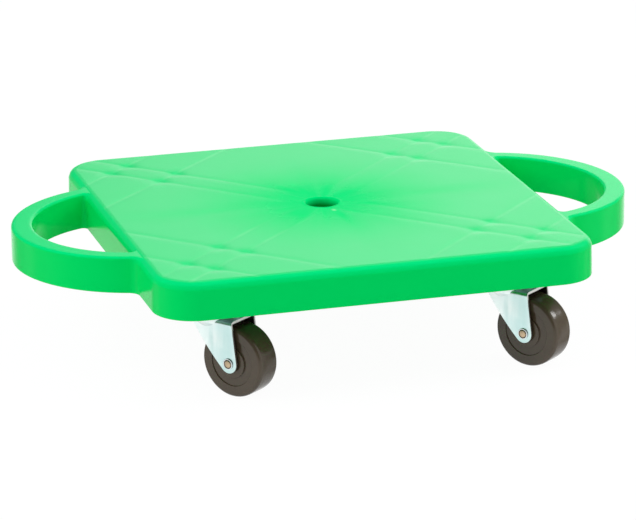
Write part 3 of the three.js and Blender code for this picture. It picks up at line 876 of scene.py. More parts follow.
# Casters
def plate_mesh():
    """The mounting plate with its pressed recess, its long way along X."""
    half_x = SCREW_SPACING_LONG / 2 + PLATE_MARGIN
    half_y = DIAGONAL_RIB + PLATE_MARGIN
    edge = PLATE_EDGE_RADIUS
    turns = np.linspace(0, QUARTER, 4)
    steps = [(edge * (1 - math.sin(turn)), PLATE_UNDER + edge * (1 - math.cos(turn))) for turn in turns]
    steps += [(edge * (1 - math.cos(turn)), PLATE_TOP - edge * (1 - math.sin(turn))) for turn in turns]
    surface = Surface()
    surface.loft([
        (rounded_rectangle(half_x - inset, half_y - inset, PLATE_CORNER_RADIUS - inset, 10), level)
        for inset, level in steps
    ])
    plate = surface.made("mount_plate")
    wide = RECESS_RADIUS + RACE_CONE_SPREAD
    boss_top = PLATE_TOP - BROKEN_EDGE
    boss = turned_object("boss", [
        (0, RECESS_UNDER, 0), (RECESS_RADIUS, RECESS_UNDER, RECESS_OUTER_ROUND), (wide, PLATE_UNDER, 0),
        (wide, boss_top, 0), (0, boss_top, 0),
    ], 64)
    combine(plate, boss, "UNION")
    drop = PLATE_THICKNESS / 2
    floor = RECESS_UNDER + PLATE_THICKNESS
    inside = turned_object("inside", [
        (0, floor, 0), (RECESS_RADIUS - drop, floor, RECESS_INNER_ROUND), (wide - drop, PLATE_TOP, 0),
        (wide - drop, PLATE_TOP + OVERRUN, 0), (0, PLATE_TOP + OVERRUN, 0),
    ], 64)
    combine(plate, inside, "DIFFERENCE")
    drill(plate, PIN_HOLE_RADIUS, RECESS_UNDER - OVERRUN, PLATE_TOP, 40, [(0, 0)])
    drill(plate, SCREW_HOLE_RADIUS, PLATE_UNDER - OVERRUN, PLATE_TOP + OVERRUN, 32, screw_places())
    return smooth(plate)


def screw_mesh():
    """A pan-head screw, head down, with a cross recess, about its own axis."""
    low, high = node_box("front_right_screw_1")
    head = low.z + SCREW_HEAD_HEIGHT
    screw = turned_object("screw", [
        (0, low.z, 0), (SCREW_HEAD_RADIUS, low.z, SCREW_HEAD_ROUND), (SCREW_HEAD_RADIUS, head, FINE_EDGE),
        (SCREW_RADIUS, head, SMALL_EDGE), (SCREW_RADIUS, high.z - SCREW_POINT, 0), (0, high.z, 0),
    ], 32)
    corners = np.array([[1, 1], [-1, 1], [-1, -1], [1, -1]])
    steps = ((low.z - SMALL_OVERRUN, SLOT_MOUTH_SHARE), (low.z, 1), (low.z + SLOT_DEPTH, SLOT_FOOT_SHARE))
    for turn in (0, QUARTER):
        slot = Surface()
        slot.loft([
            (spun(corners * (SLOT_LENGTH * share / 2, SLOT_WIDTH * (1 + share) / 4), turn), level)
            for level, share in steps
        ])
        combine(screw, slot.made("slot"), "DIFFERENCE")
    return smooth(screw)


def king_pin_mesh():
    """The rivet that holds the fork: a round head above, and a dimpled foot that is pressed flat."""
    low, high = node_box("front_right_king_pin")
    dimple = low.z + KING_PIN_DIMPLE_DEPTH
    foot_top = low.z + KING_PIN_FOOT_HEIGHT
    head_low = high.z - KING_PIN_HEAD_HEIGHT
    return smooth(turned_object("king_pin", [
        (0, dimple, 0), (KING_PIN_DIMPLE_FLOOR, dimple, SOFT_EDGE),
        (KING_PIN_DIMPLE_RADIUS, low.z, SOFT_EDGE), (KING_PIN_RING_RADIUS, low.z, KING_PIN_RING_ROUND),
        (KING_PIN_FOOT_RADIUS, low.z + KING_PIN_FOOT_BEVEL, KING_PIN_FOOT_ROUND),
        (KING_PIN_FOOT_RADIUS, foot_top, SMALL_EDGE), (KING_PIN_RADIUS, foot_top, 0),
        (KING_PIN_RADIUS, head_low, 0), (KING_PIN_HEAD_RADIUS, head_low, SMALL_EDGE),
        (KING_PIN_HEAD_RADIUS, high.z, KING_PIN_HEAD_ROUND), (0, high.z, 0),
    ], 48))


def lower_race_mesh():
    low, high = node_box("front_right_lower_race")
    return smooth(turned_object("lower_race", [
        (PIN_HOLE_RADIUS, low.z, SMALL_EDGE), (LOWER_RACE_RADIUS - LOWER_RACE_BEVEL, low.z, LOWER_RACE_ROUND),
        (LOWER_RACE_RADIUS, high.z, FINE_EDGE), (PIN_HOLE_RADIUS, high.z, SMALL_EDGE),
    ], 48, hollow=True))


def ball_ring_mesh(name, ball_radius, count, pitch, level):
    """Balls of one race in their ring cage."""
    corners = [
        (pitch + out * CAGE_HALF, level + up * CAGE_HALF, BROKEN_EDGE)
        for out, up in ((-1, -1), (1, -1), (1, 1), (-1, 1))
    ]
    ring = turned_object(name, corners, 72, hollow=True, steps=2)
    arch = arc((0, level), ball_radius, -QUARTER, QUARTER, 12)
    arch[[0, -1], 0] = 0
    surface = Surface()
    for middle in circle(pitch, count):
        surface.turn(arch, 20, middle)
    combine(ring, surface.made("balls"), "UNION")
    return smooth(ring)


def leg_outline(steps=24):
    """The fork's outline from the side: a straight front, a round tip and a rear edge that bows out."""
    axle = Vector((FORK_TRAIL, AXLE_LEVEL))
    front = Vector((FORK_TRAIL + FORK_FRONT_LEAD, CROWN_TOP))
    rear = Vector((-FORK_REAR_REACH, CROWN_TOP))

    def touch_turn(corner, side):
        """The turn at which a straight edge from the corner touches the round tip."""
        arm = corner - axle
        return math.atan2(arm.y, arm.x) + side * math.acos(LEG_TIP_RADIUS / arm.length)

    tip = arc(axle, LEG_TIP_RADIUS, touch_turn(rear, 1), touch_turn(front, -1) + WHOLE, steps)
    touch = Vector(tip[0])
    edge = (touch - rear).normalized()
    bulge = (touch + rear) / 2 + LEG_REAR_BULGE * Vector((edge.y, -edge.x))
    share = np.linspace(0, 1, steps + 1)[:-1, None]
    curve = np.array(rear) * (1 - share) ** 2 + np.array(bulge) * 2 * share * (1 - share)
    return np.vstack([curve + np.array(touch) * share**2, tip, [tuple(front)]])


def bend_outline(steps=8):
    """The fork's outline from the front: crown and two legs bent from one sheet."""
    low = AXLE_LEVEL - LEG_TIP_RADIUS - OVERRUN
    outer = FORK_BEND_INSIDE + FORK_SHEET
    bend = (LEG_OUTER - outer, CROWN_TOP - outer)
    outside = np.vstack([[(LEG_OUTER, low)], arc(bend, outer, 0, QUARTER, steps)])
    inside = np.vstack([arc(bend, FORK_BEND_INSIDE, QUARTER, 0, steps), [(LEG_INNER, low)]])
    return np.vstack([outside, (outside * (-1, 1))[::-1], (inside * (-1, 1))[::-1], inside])


def crown_dish():
    """The crown's round dish: a rim round the upper balls, a raised middle and a skirt into the legs."""
    inner = DOME_RADIUS - FORK_SHEET
    skirt = LEG_OUTER - FORK_SHEET / 2
    rim = CROWN_TOP + RIM_HEIGHT
    return turned_object("dish", [
        (PIN_HOLE_RADIUS, DOME_UNDER, SMALL_EDGE), (inner, DOME_UNDER, DOME_INNER_ROUND),
        (inner, CROWN_UNDER, DOME_FOOT_ROUND), (skirt, CROWN_UNDER, 0),
        (skirt, CROWN_TOP - SKIRT_DEPTH - SKIRT_FOOT, SOFT_EDGE),
        (DISH_RADIUS, CROWN_TOP - SKIRT_DEPTH / 2, SKIRT_ROUND), (DISH_RADIUS, rim, RIM_ROUND),
        (RIM_INNER_RADIUS, rim, RIM_ROUND), (RIM_INNER_RADIUS, CROWN_TOP, RIM_FOOT_ROUND),
        (DOME_RADIUS, CROWN_TOP, DOME_ROUND), (DOME_RADIUS, DOME_TOP, DOME_ROUND),
        (PIN_HOLE_RADIUS, DOME_TOP, SMALL_EDGE),
    ], ROUND_SIDES, hollow=True)


def across_fork(name, outline):
    """An outline seen from the side, drawn out across the whole fork."""
    reach = LEG_OUTER + OVERRUN
    return extruded(name, outline, -reach, reach, lambda a, b, depth: (a, -depth, b))


def fork_mesh():
    """The fork: one sheet bent into a crown and two legs, with the pressed dish."""
    fork = across_fork("fork", leg_outline())
    span = (-FORK_REAR_REACH - OVERRUN, FORK_TRAIL + LEG_TIP_RADIUS + OVERRUN)
    bend = extruded("bend", bend_outline(), *span, lambda a, b, depth: (depth, a, b))
    combine(fork, bend, "INTERSECT")
    rounded_edges(fork, SHEET_EDGE_RADIUS, SHEET_EDGE_ANGLE)
    opening = DOME_RADIUS - FORK_SHEET / 2
    drill(fork, opening, CROWN_TOP - 2 * OVERRUN, CROWN_TOP + OVERRUN, ROUND_SIDES, [(0, 0)])
    combine(fork, crown_dish(), "UNION")
    front = FORK_TRAIL + WHEEL_RADIUS
    plan = [(0, -LEG_INNER), (front, -LEG_INNER), (front, LEG_INNER), (0, LEG_INNER)]
    way = Surface()
    way.loft([(plan, AXLE_LEVEL), (plan, CROWN_UNDER)])
    combine(fork, way.made("wheel_way"), "DIFFERENCE")
    hole = circle(AXLE_RADIUS + AXLE_HOLE_CLEARANCE, 40, (FORK_TRAIL, AXLE_LEVEL))
    combine(fork, across_fork("axle_hole", hole), "DIFFERENCE")
    return smooth(fork, 30)


def wheel_mesh():
    """The wheel about its own axle: tread, rounded shoulders, a recessed ring on each face and the hub."""
    hub = WHEEL_HALF + HUB_RISE
    recess = WHEEL_HALF - WHEEL_RECESS_DEPTH
    edge = HUB_RADIUS + WHEEL_RECESS_WIDTH
    return smooth(turned_object("wheel", both_ends([
        (WHEEL_RADIUS - WHEEL_CROWN / 4, (WHEEL_HALF - WHEEL_SHOULDER) / 2, WHEEL_TREAD_ROUND),
        (WHEEL_RADIUS - WHEEL_CROWN, WHEEL_HALF, WHEEL_SHOULDER), (edge, WHEEL_HALF, SOFT_EDGE),
        (edge, recess, FINE_EDGE), (HUB_RADIUS - HUB_TAPER, recess, FINE_EDGE),
        (HUB_RADIUS, hub, HUB_ROUND), (WHEEL_BORE, hub, SOFT_EDGE),
    ]), 128, hollow=True, steps=6))


def bushing_mesh():
    end = WHEEL_HALF + HUB_RISE + BUSHING_RISE
    half = [(BUSHING_RADIUS, end, SOFT_EDGE), (BUSHING_BORE, end, SMALL_EDGE)]
    return smooth(turned_object("bushing", both_ends(half), 48, hollow=True))


def axle_mesh():
    """The axle rivet: a low collar outside each leg and a domed end within it."""
    seat = LEG_OUTER + AXLE_HEAD_SEAT
    collar = seat + AXLE_COLLAR_HEIGHT
    groove = seat + AXLE_GROOVE_FLOOR
    end = seat + AXLE_HEAD_HEIGHT
    return smooth(turned_object("axle", both_ends([
        (AXLE_RADIUS, seat, 0), (AXLE_HEAD_RADIUS, seat, BROKEN_EDGE), (AXLE_HEAD_RADIUS, collar, SMALL_EDGE),
        (AXLE_RADIUS + AXLE_GROOVE_HALF, collar, BROKEN_EDGE),
        (AXLE_RADIUS - AXLE_GROOVE_HALF, groove, BROKEN_EDGE),
        (AXLE_RADIUS - AXLE_DOME_FOOT_INSET, groove, BROKEN_EDGE),
        (AXLE_RADIUS - AXLE_DOME_INSET, end - AXLE_DOME_DROP, AXLE_DOME_ROUND), (0, end, 0),
    ]), 48))


# Materials
class Graph:
    """A tree of shader nodes. Its methods add a node and mostly give back its output."""

    def __init__(self, tree):
        self.tree = tree

    def put(self, socket, value):
        """Sets an input to a value, or links it to another node's output."""
        if isinstance(value, bpy.types.NodeSocket):
            self.tree.links.new(value, socket)
        else:
            socket.default_value = value

    def node(self, kind, inputs=None, **settings):
        """A node with its settings and its inputs."""
        made = self.tree.nodes.new("ShaderNode" + kind)
        for name, value in settings.items():
            setattr(made, name, value)
        for name, value in (inputs or {}).items():
            self.put(made.inputs[name], value)
        return made

    def maths(self, operation, first, second=0.0):
        return self.node("Math", {0: first, 1: second}, operation=operation).outputs[0]

    def times(self, first, second):
        return self.maths("MULTIPLY", first, second)

    def vector_maths(self, operation, first, second=(0, 0, 0)):
        return self.node("VectorMath", {0: first, 1: second}, operation=operation).outputs

    def mixed(self, factor, first, second):
        """A colour between two others."""
        return self.node("Mix", {0: factor, 6: first, 7: second}, data_type="RGBA").outputs[2]

    def mixed_shader(self, factor, first, second):
        inputs = {0: factor, 1: first.outputs[0], 2: second.outputs[0]}
        return self.node("MixShader", inputs)

    def scaled(self, value, low, high):
        """A value from 0 to 1, spread over a range."""
        return self.node("MapRange", {"Value": value, "To Min": low, "To Max": high}).outputs[0]

    def spread(self, value, start, end, low=0.0, high=1.0):
        """Goes smoothly from low to high as the value goes from start to end."""
        if start > end:
            start, end, low, high = end, start, high, low
        inputs = {"Value": value, "From Min": start, "From Max": end, "To Min": low, "To Max": high}
        return self.node("MapRange", inputs, interpolation_type="SMOOTHSTEP").outputs[0]

    def spread_mm(self, value, start, end, low=0.0, high=1.0):
        """As spread, with the start and the end in millimetres."""
        return self.spread(value, start * MM, end * MM, low, high)

    def coordinate(self, kind="Object"):
        """A point's place in the piece's own axes, or another coordinate."""
        return self.node("TexCoord").outputs[kind]

    def parts(self, vector):
        """The X, Y and Z of a vector."""
        return self.node("SeparateXYZ", {"Vector": vector}).outputs

    def flat(self, x, y=0.0):
        return self.node("CombineXYZ", {"X": x, "Y": y}).outputs[0]

    def from_axis(self, x, y):
        """The distance from the piece's own Z axis."""
        return self.vector_maths("LENGTH", self.flat(x, y))["Value"]

    def noise(self, scale, detail=3, roughness=0.5, vector=None):
        """Noise whose grains measure about 1000 / scale millimetres."""
        if vector is None:
            vector = self.coordinate()
        inputs = {"Vector": vector, "Scale": scale, "Detail": detail, "Roughness": roughness}
        return self.node("TexNoise", inputs).outputs["Fac"]

    def bump(self, height, scale):
        """A fine grain of a height in millimetres."""
        inputs = {"Height": self.noise(scale, 4, 0.6), "Distance": height * MM, "Strength": 1.0}
        return self.node("Bump", inputs).outputs[0]


# Painted light: the deck's top is painted a paler green, with a little red that stands for its sheen.
GREEN_TOP_SHEEN = (0.05, 0.75, 0.235, 1)
# Painted light: a lit green for faces that look up and a shaded green for upright faces.
GREEN_UPWARD_LIT = (0.0, 0.77, 0.21, 1)
GREEN_SIDE_SHADED = (0.0, 0.70, 0.118, 1)
# Painted light: the deeper green round the gate, without the painted sheen of the top.
GREEN_WITHOUT_SHEEN = (0.0, 0.79, 0.2, 1)
GREEN_CLOUD = (0.0, 0.68, 0.14, 1)
# Painted highlight: the pale green of the thin lines over the ribs.
GREEN_RIB_HIGHLIGHT = (0.12, 0.79, 0.29, 1)
# Painted shadow: the dark green deep in the rope hole's bore.
GREEN_BORE_SHADOW = (0.0, 0.28, 0.02, 1)
GREEN_SCUFF = (0.34, 0.9, 0.42, 1)
GREEN_TINT = (0.05, 1, 0.5, 1)
RIB_HIGHLIGHT_HALF = 2.6
TOP_PAINT_BLEND = 0.05

# The deeper green round the gate, where the top's painted sheen gives way, in millimetres from where it ends
# to where it is full. The rays along the middle lines hold half their width, how far they reach and how
# strong they are
STAR_REACH = (120, 16)
STREAK_REACH = (110, 14)
STREAK_STRENGTH = 0.35
RAY_ALONG_X = (24, 170, 0.85)
RAY_ALONG_Y = (22, 120, 0.6)
RAY_START = 10

# The painted shadow deep in the rope hole's bore, by the distance out from its wall and by the depth under
# the deck's top
BORE_WIDTH = (1.8, 0.8)
BORE_DEPTH = (2.9, 6.9)

# The pale scuff round the gate: its reach, how strong it is, and how much longer it is along Y
SCUFF_REACH = (2.4, 0.4)
SCUFF_STRENGTH = 0.8
SCUFF_SQUEEZE = 0.6


def gloss_loss_star(graph, x, y):
    """From 0 to 1: where the top is duller round the gate, in rays along the middle lines and in fine
    streaks. The roughness and gloss follow it, and in the colour it paints the top's sheen away to a deeper
    green.
    """
    beside_x, beside_y = graph.maths("ABSOLUTE", x), graph.maths("ABSOLUTE", y)
    distance = graph.from_axis(x, y)
    direction = graph.vector_maths("NORMALIZE", graph.flat(x, y))[0]

    def ray(beside, along, half_width, reach, strength):
        sides = graph.spread_mm(beside, half_width, 0)
        return graph.times(sides, graph.spread_mm(along, reach, RAY_START, 0, strength))

    across, along = ray(beside_y, beside_x, *RAY_ALONG_X), ray(beside_x, beside_y, *RAY_ALONG_Y)
    rays = graph.maths("MAXIMUM", across, along)
    star = graph.maths("MAXIMUM", graph.spread_mm(distance, *STAR_REACH), rays)
    streaks = graph.scaled(graph.noise(4, 1.5, 0.5, direction), -STREAK_STRENGTH, STREAK_STRENGTH)
    faded = graph.times(streaks, graph.spread_mm(distance, *STREAK_REACH))
    return graph.node("Clamp", {"Value": graph.maths("ADD", star, faded)}).outputs[0]


def rib_highlights(graph, x, y):
    """From 0 to 1: painted highlights in thin lines over the middles of the ribs beside and across the
    diagonals, where the sink marks catch the light.
    """
    beside_x, beside_y = graph.maths("ABSOLUTE", x), graph.maths("ABSOLUTE", y)
    out = graph.times(graph.maths("ADD", beside_x, beside_y), math.sqrt(0.5))
    off = graph.times(graph.maths("SUBTRACT", beside_x, beside_y), math.sqrt(0.5))
    off = graph.maths("ABSOLUTE", off)
    lines = 0.0
    for place, rib in ((off, DIAGONAL_RIB), (out, INNER_RIB_ACROSS), (out, OUTER_RIB_ACROSS)):
        distance = graph.maths("ABSOLUTE", graph.maths("SUBTRACT", place, rib * MM))
        lines = graph.maths("MAXIMUM", graph.spread_mm(distance, RIB_HIGHLIGHT_HALF, 0), lines)
    return graph.times(lines, graph.spread(graph.noise(25, 2), 0.4, 0.6, 0.3, 0.9))


def bore_shadow(graph, x, y, z):
    """From 0 to 1: the painted shadow deep in the bore of the rope hole."""
    beside = graph.spread_mm(graph.from_axis(x, y), *(ROPE_HOLE_RADIUS + out for out in BORE_WIDTH))
    return graph.times(beside, graph.spread_mm(z, *(DECK_TOP - down for down in BORE_DEPTH)))


def gate_scuff(graph, x, y, z):
    """From 0 to 1: the pale scuff round the gate, on the deck's top only."""
    beside = graph.maths("SUBTRACT", x, GATE_PLACE[0] * MM)
    along = graph.times(graph.maths("SUBTRACT", y, GATE_PLACE[1] * MM), SCUFF_SQUEEZE)
    near = graph.spread_mm(graph.from_axis(beside, along), *SCUFF_REACH, 0, SCUFF_STRENGTH)
    return graph.times(near, graph.spread_mm(z, SKIN_UNDER + 0.5, SKIN_UNDER + 1))


def green_plastic(graph):
    """Moulded plastic with a soft gloss, paler on the deck's top and deeper round the rope hole. The paler
    top is painted light and sheen, faces that look up are painted lit and upright ones shaded, the lines over
    the ribs are painted highlights, the bore is a painted shadow and the deeper green is a painted loss of
    sheen.
    """
    x, y, z = graph.parts(graph.coordinate())
    lit_from_above = graph.parts(graph.coordinate("Normal"))[2]
    star = gloss_loss_star(graph, x, y)
    # Painted light: upright faces take the shaded green and faces that look up take the lit one.
    colour = graph.mixed(graph.spread(lit_from_above, 0, 0.8), GREEN_SIDE_SHADED, GREEN_UPWARD_LIT)
    # Painted highlights: thin pale lines over the ribs on the top.
    pale = graph.mixed(rib_highlights(graph, x, y), GREEN_TOP_SHEEN, GREEN_RIB_HIGHLIGHT)
    # Painted light: the top gets its paler, sheened green from a little below its level upwards.
    colour = graph.mixed(graph.spread_mm(z, HANDLE_TOP, DECK_TOP - TOP_PAINT_BLEND), colour, pale)
    # Partly painted light: the deeper green round the gate paints away the top's sheen, where the surface is
    # also made duller.
    colour = graph.mixed(star, colour, GREEN_WITHOUT_SHEEN)
    # Painted shadow deep in the rope hole's bore.
    colour = graph.mixed(bore_shadow(graph, x, y, z), colour, GREEN_BORE_SHADOW)
    colour = graph.mixed(gate_scuff(graph, x, y, z), colour, GREEN_SCUFF)
    gloss = graph.scaled(graph.noise(45, 4, 0.6), 0.15, 0.22)
    return {
        "Base Color": graph.mixed(graph.scaled(graph.noise(28, 3, 0.55), 0, 0.25), colour, GREEN_CLOUD),
        "Roughness": graph.maths("ADD", gloss, graph.scaled(star, 0, 0.1)),
        "Specular IOR Level": graph.scaled(star, 0.5, 0.02),
        "Specular Tint": GREEN_TINT,
        "IOR": 1.2,
        "Normal": graph.bump(0.012, 900),
    }


ZINC_CLOUD = (0.8, 0.91, 0.89, 1)
ZINC_CLEAR = (0.98, 0.99, 0.96, 1)
ZINC_STREAK = (0.5, 0.7, 0.67, 1)
# Painted reflection: a darker teal towards the fork's front.
ZINC_AHEAD_REFLECTION = (0.5, 0.74, 0.72, 1)
# Painted highlight on faces that look forward, such as the legs' front edges.
ZINC_FRONT_HIGHLIGHT = (0.99, 0.99, 0.96, 1)
# Painted shade inside the fork, between its legs and under its crown.
ZINC_INSIDE_SHADE = (0.16, 0.15, 0.14, 1)
# Painted shade with a painted green reflection of the deck, on all zinc higher than just above the crown,
# which takes in the plates and the screws.
ZINC_SHADE_AND_GREEN_REFLECTION = (0.26, 0.42, 0.37, 1)
ZINC_STREAK_STRETCH = (1, 1, 0.15)
LEG_MIDDLE = (LEG_OUTER + LEG_INNER) / 2
PAINT_BLEND = 0.4
CROWN_PAINT_FOOT = 1.5


def zinc_plate(graph):
    """Bright zinc on pressed steel, clouded and finely scratched, and darker inside and above the fork. The
    dark inside is painted shade, the dark teal above is painted shade with a green reflection of the deck,
    the teal towards the front is a painted reflection, and faces that look forward carry a painted highlight.
    """
    place = graph.coordinate()
    ahead, beside, height = graph.parts(place)
    # How far the normal points forward, which sets the painted highlight.
    front = graph.parts(graph.coordinate("Normal"))[0]
    drawn = graph.vector_maths("MULTIPLY", place, ZINC_STREAK_STRETCH)[0]
    colour = graph.mixed(graph.spread(graph.noise(60, 3, 0.5), 0.4, 0.62), ZINC_CLOUD, ZINC_CLEAR)
    streaks = graph.spread(graph.noise(75, 3, 0.55, drawn), 0.52, 0.7, 0, 0.6)
    colour = graph.mixed(streaks, colour, ZINC_STREAK)
    # Painted reflection: darker teal towards the front of the fork.
    colour = graph.mixed(graph.spread_mm(ahead, -4, 16, 0, 0.6), colour, ZINC_AHEAD_REFLECTION)
    # Painted highlight: faces that look forward, such as the legs' front edges, are painted near white.
    colour = graph.mixed(graph.spread(front, 0.6, 0.8), colour, ZINC_FRONT_HIGHLIGHT)
    within = graph.spread_mm(graph.maths("ABSOLUTE", beside), LEG_MIDDLE, LEG_MIDDLE - PAINT_BLEND)
    beneath = graph.spread_mm(height, CROWN_UNDER + PAINT_BLEND, CROWN_UNDER)
    # Painted shade inside the fork, between the legs and under the crown.
    colour = graph.mixed(graph.times(within, beneath), colour, ZINC_INSIDE_SHADE)
    # Painted shade and green reflection on the zinc above the crown.
    foot = CROWN_UNDER + CROWN_PAINT_FOOT
    return {
        "Base Color": graph.mixed(graph.spread_mm(height, foot, foot + PAINT_BLEND), colour, ZINC_SHADE_AND_GREEN_REFLECTION),
        "Roughness": graph.scaled(graph.noise(160, 5, 0.65), 0.22, 0.42),
        "Metallic": 1.0,
        "Normal": graph.bump(0.01, 1400),
    }


WHEEL_DARK = (0.069, 0.047, 0.026, 1)
WHEEL_PALE = (0.1, 0.07, 0.04, 1)
WHEEL_RING = (0.045, 0.036, 0.028, 1)


def wheel_moulding(graph):
    """Dark brown-grey moulding with a satin skin and faint turning marks round its axle."""
    x, y, _ = graph.parts(graph.coordinate())
    rings = graph.noise(900, 2, 0.5, graph.flat(graph.from_axis(x, y)))
    clouds = graph.mixed(graph.noise(70, 4, 0.6), WHEEL_DARK, WHEEL_PALE)
    return {
        "Base Color": graph.mixed(graph.scaled(rings, 0, 0.35), clouds, WHEEL_RING),
        "Roughness": graph.scaled(graph.noise(130, 4, 0.6), 0.13, 0.21),
        "IOR": 1.45,
        "Normal": graph.bump(0.004, 1200),
    }


RIVET_CORE = 2.6
RIVET_COLLAR = 3.1
RIVET_BLEND = 0.2
# Painted shade in the groove between the rivet's core and its collar.
RIVET_GROOVE_SHADE = (0.05, 0.045, 0.04, 1)


def rivet(graph):
    """A tan core in a bright collar, with a painted shade in the groove between them."""
    x, y, _ = graph.parts(graph.coordinate())
    radius = graph.from_axis(x, y)
    clouds = graph.noise(400, 4, 0.6)
    core = graph.mixed(clouds, (0.42, 0.31, 0.19, 1), (0.62, 0.49, 0.33, 1))
    collar = graph.mixed(clouds, (0.62, 0.66, 0.66, 1), (0.82, 0.86, 0.86, 1))
    # Painted shade in the groove round the core.
    core_and_groove_shade = graph.mixed(graph.spread_mm(radius, RIVET_CORE - RIVET_BLEND, RIVET_CORE), core, RIVET_GROOVE_SHADE)
    return {
        "Base Color": graph.mixed(
            graph.spread_mm(radius, RIVET_COLLAR - RIVET_BLEND, RIVET_COLLAR), core_and_groove_shade, collar
        ),
        "Roughness": graph.scaled(graph.noise(600, 4, 0.6), 0.25, 0.4),
        "Metallic": 1.0,
        "Normal": graph.bump(0.01, 2500),
    }


def steel_ball(graph):
    return {
        "Base Color": graph.mixed(graph.noise(500), (0.5, 0.52, 0.54, 1), (0.66, 0.68, 0.7, 1)),
        "Roughness": graph.scaled(graph.noise(700), 0.1, 0.22),
        "Metallic": 1.0,
        "Normal": graph.bump(0.004, 2500),
    }


def nylon(graph):
    return {
        "Base Color": graph.mixed(graph.noise(300), (0.62, 0.59, 0.5, 1), (0.74, 0.71, 0.63, 1)),
        "Roughness": graph.scaled(graph.noise(500), 0.38, 0.52),
        "IOR": 1.5,
        "Normal": graph.bump(0.01, 1800),
    }


def make_material(paint):
    """A material. Its paint function says what each input of the shader is set or linked to."""
    material = bpy.data.materials.new(paint.__name__)
    material.use_nodes = True
    graph = Graph(material.node_tree)
    shader = graph.tree.nodes["Principled BSDF"]
    for socket, value in paint(graph).items():
        graph.put(shader.inputs[socket], value)
    return material


PAINTS = (green_plastic, zinc_plate, wheel_moulding, rivet, steel_ball, nylon)
MATERIALS = {paint.__name__: make_material(paint) for paint in PAINTS}


def dress(piece, node, body, slot):
    """Gives a piece its name, finish and body, and lets it stand for its CAD node."""
    piece.name = node + "_visual"
    piece.data.materials.clear()
    piece.data.materials.append(MATERIALS[slot])
    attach(piece, body)
    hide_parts(node)


def placed(source, transform):
    """Another object with the source's mesh, in its own place."""
    copy = source.copy()
    bpy.context.scene.collection.objects.link(copy)
    copy.matrix_world = transform
    return copy


def at(x, y, z, turn=0):
    return Matrix.Translation(Vector((x, y, z)) * MM) @ Matrix.Rotation(turn, 4, "Z")


def make_casters():
    """The four casters. Each kind of piece is made once and then placed at every caster."""
    upper_level = CROWN_TOP + BALL_CLEARANCE + UPPER_BALL_RADIUS
    lower_level = DOME_UNDER - BALL_CLEARANCE - LOWER_BALL_RADIUS
    upper = ball_ring_mesh("upper_balls", UPPER_BALL_RADIUS, UPPER_BALL_COUNT, UPPER_PITCH, upper_level)
    lower = ball_ring_mesh("lower_balls", LOWER_BALL_RADIUS, LOWER_BALL_COUNT, LOWER_PITCH, lower_level)
    plate, screw, pin, race = plate_mesh(), screw_mesh(), king_pin_mesh(), lower_race_mesh()
    fork, wheel, sleeve, axle = fork_mesh(), wheel_mesh(), bushing_mesh(), axle_mesh()
    lie_down = Matrix.Rotation(-QUARTER, 4, "X")
    for name, (side_x, side_y) in CASTERS.items():
        spot = (side_x * CASTER_OFFSET, side_y * CASTER_OFFSET)
        fixed = at(*spot, 0, math.atan2(side_y, side_x))
        swivel = at(*spot, 0, CASTER_HEADING)
        rolling = swivel @ at(FORK_TRAIL, 0, AXLE_LEVEL) @ lie_down
        pieces = [("mount_plate", plate, fixed, "board", "zinc_plate")]
        for k, place in enumerate(screw_places()):
            pieces.append((f"screw_{k + 1}", screw, fixed @ at(*place, 0), "board", "zinc_plate"))
        pieces += [
            ("king_pin", pin, fixed, "board", "zinc_plate"),
            ("lower_race", race, fixed, "board", "zinc_plate"),
            ("fork", fork, swivel, name + "_swivel", "zinc_plate"),
            ("upper_balls", upper, swivel, name + "_swivel", "steel_ball"),
            ("lower_balls", lower, swivel, name + "_swivel", "steel_ball"),
            ("axle", axle, rolling, name + "_swivel", "rivet"),
            ("wheel", wheel, rolling, name + "_wheel", "wheel_moulding"),
            ("bushing", sleeve, rolling, name + "_wheel", "nylon"),
        ]
        for part, source, transform, body, slot in pieces:
            dress(placed(source, transform), f"{name}_{part}", body, slot)
    for source in (plate, screw, pin, race, upper, lower, fork, wheel, sleeve, axle):
        bpy.data.objects.remove(source)


# Camera, floor and light
CAMERA_PLACE = (-0.679418, -2.346182, 0.832850)
CAMERA_AZIMUTH = math.radians(-16.079)
CAMERA_ELEVATION = math.radians(17.806)
CAMERA_ROLL = math.radians(-0.456)
CAMERA_LENS = 207.871
SENSOR_WIDTH = 36


def make_camera():
    data = bpy.data.cameras.new("camera")
    data.lens = CAMERA_LENS
    data.sensor_width = SENSOR_WIDTH
    data.sensor_fit = "HORIZONTAL"
    data.clip_start, data.clip_end = 0.05, 50
    camera = bpy.data.objects.new("camera", data)
    bpy.context.scene.collection.objects.link(camera)
    flat = math.cos(CAMERA_ELEVATION)
    ahead_x, ahead_y = math.sin(CAMERA_AZIMUTH) * flat, math.cos(CAMERA_AZIMUTH) * flat
    back = Vector((ahead_x, -ahead_y, math.sin(CAMERA_ELEVATION)))
    right = Vector((math.cos(CAMERA_AZIMUTH), math.sin(CAMERA_AZIMUTH), 0))
    level = Matrix((right, back.cross(right), back)).transposed().to_4x4()
    camera.matrix_world = Matrix.Translation(CAMERA_PLACE) @ level @ Matrix.Rotation(CAMERA_ROLL, 4, "Z")
    bpy.context.scene.camera = camera


def seen_rays(graph):
    """One for rays from the camera and for reflections, zero for light on its way to a surface."""
    rays = graph.node("LightPath").outputs
    both = graph.maths("MAXIMUM", rays["Is Camera Ray"], rays["Is Glossy Ray"])
    return graph.maths("MAXIMUM", both, rays["Is Transmission Ray"])


WHITE = (1, 1, 1, 1)
WORLD_FILL = 0.55
WORLD_TINT = (0.97, 0.98, 1, 1)
BACKDROP_AZIMUTH = math.radians(16)
BACKDROP_DIP = math.radians(17.8)

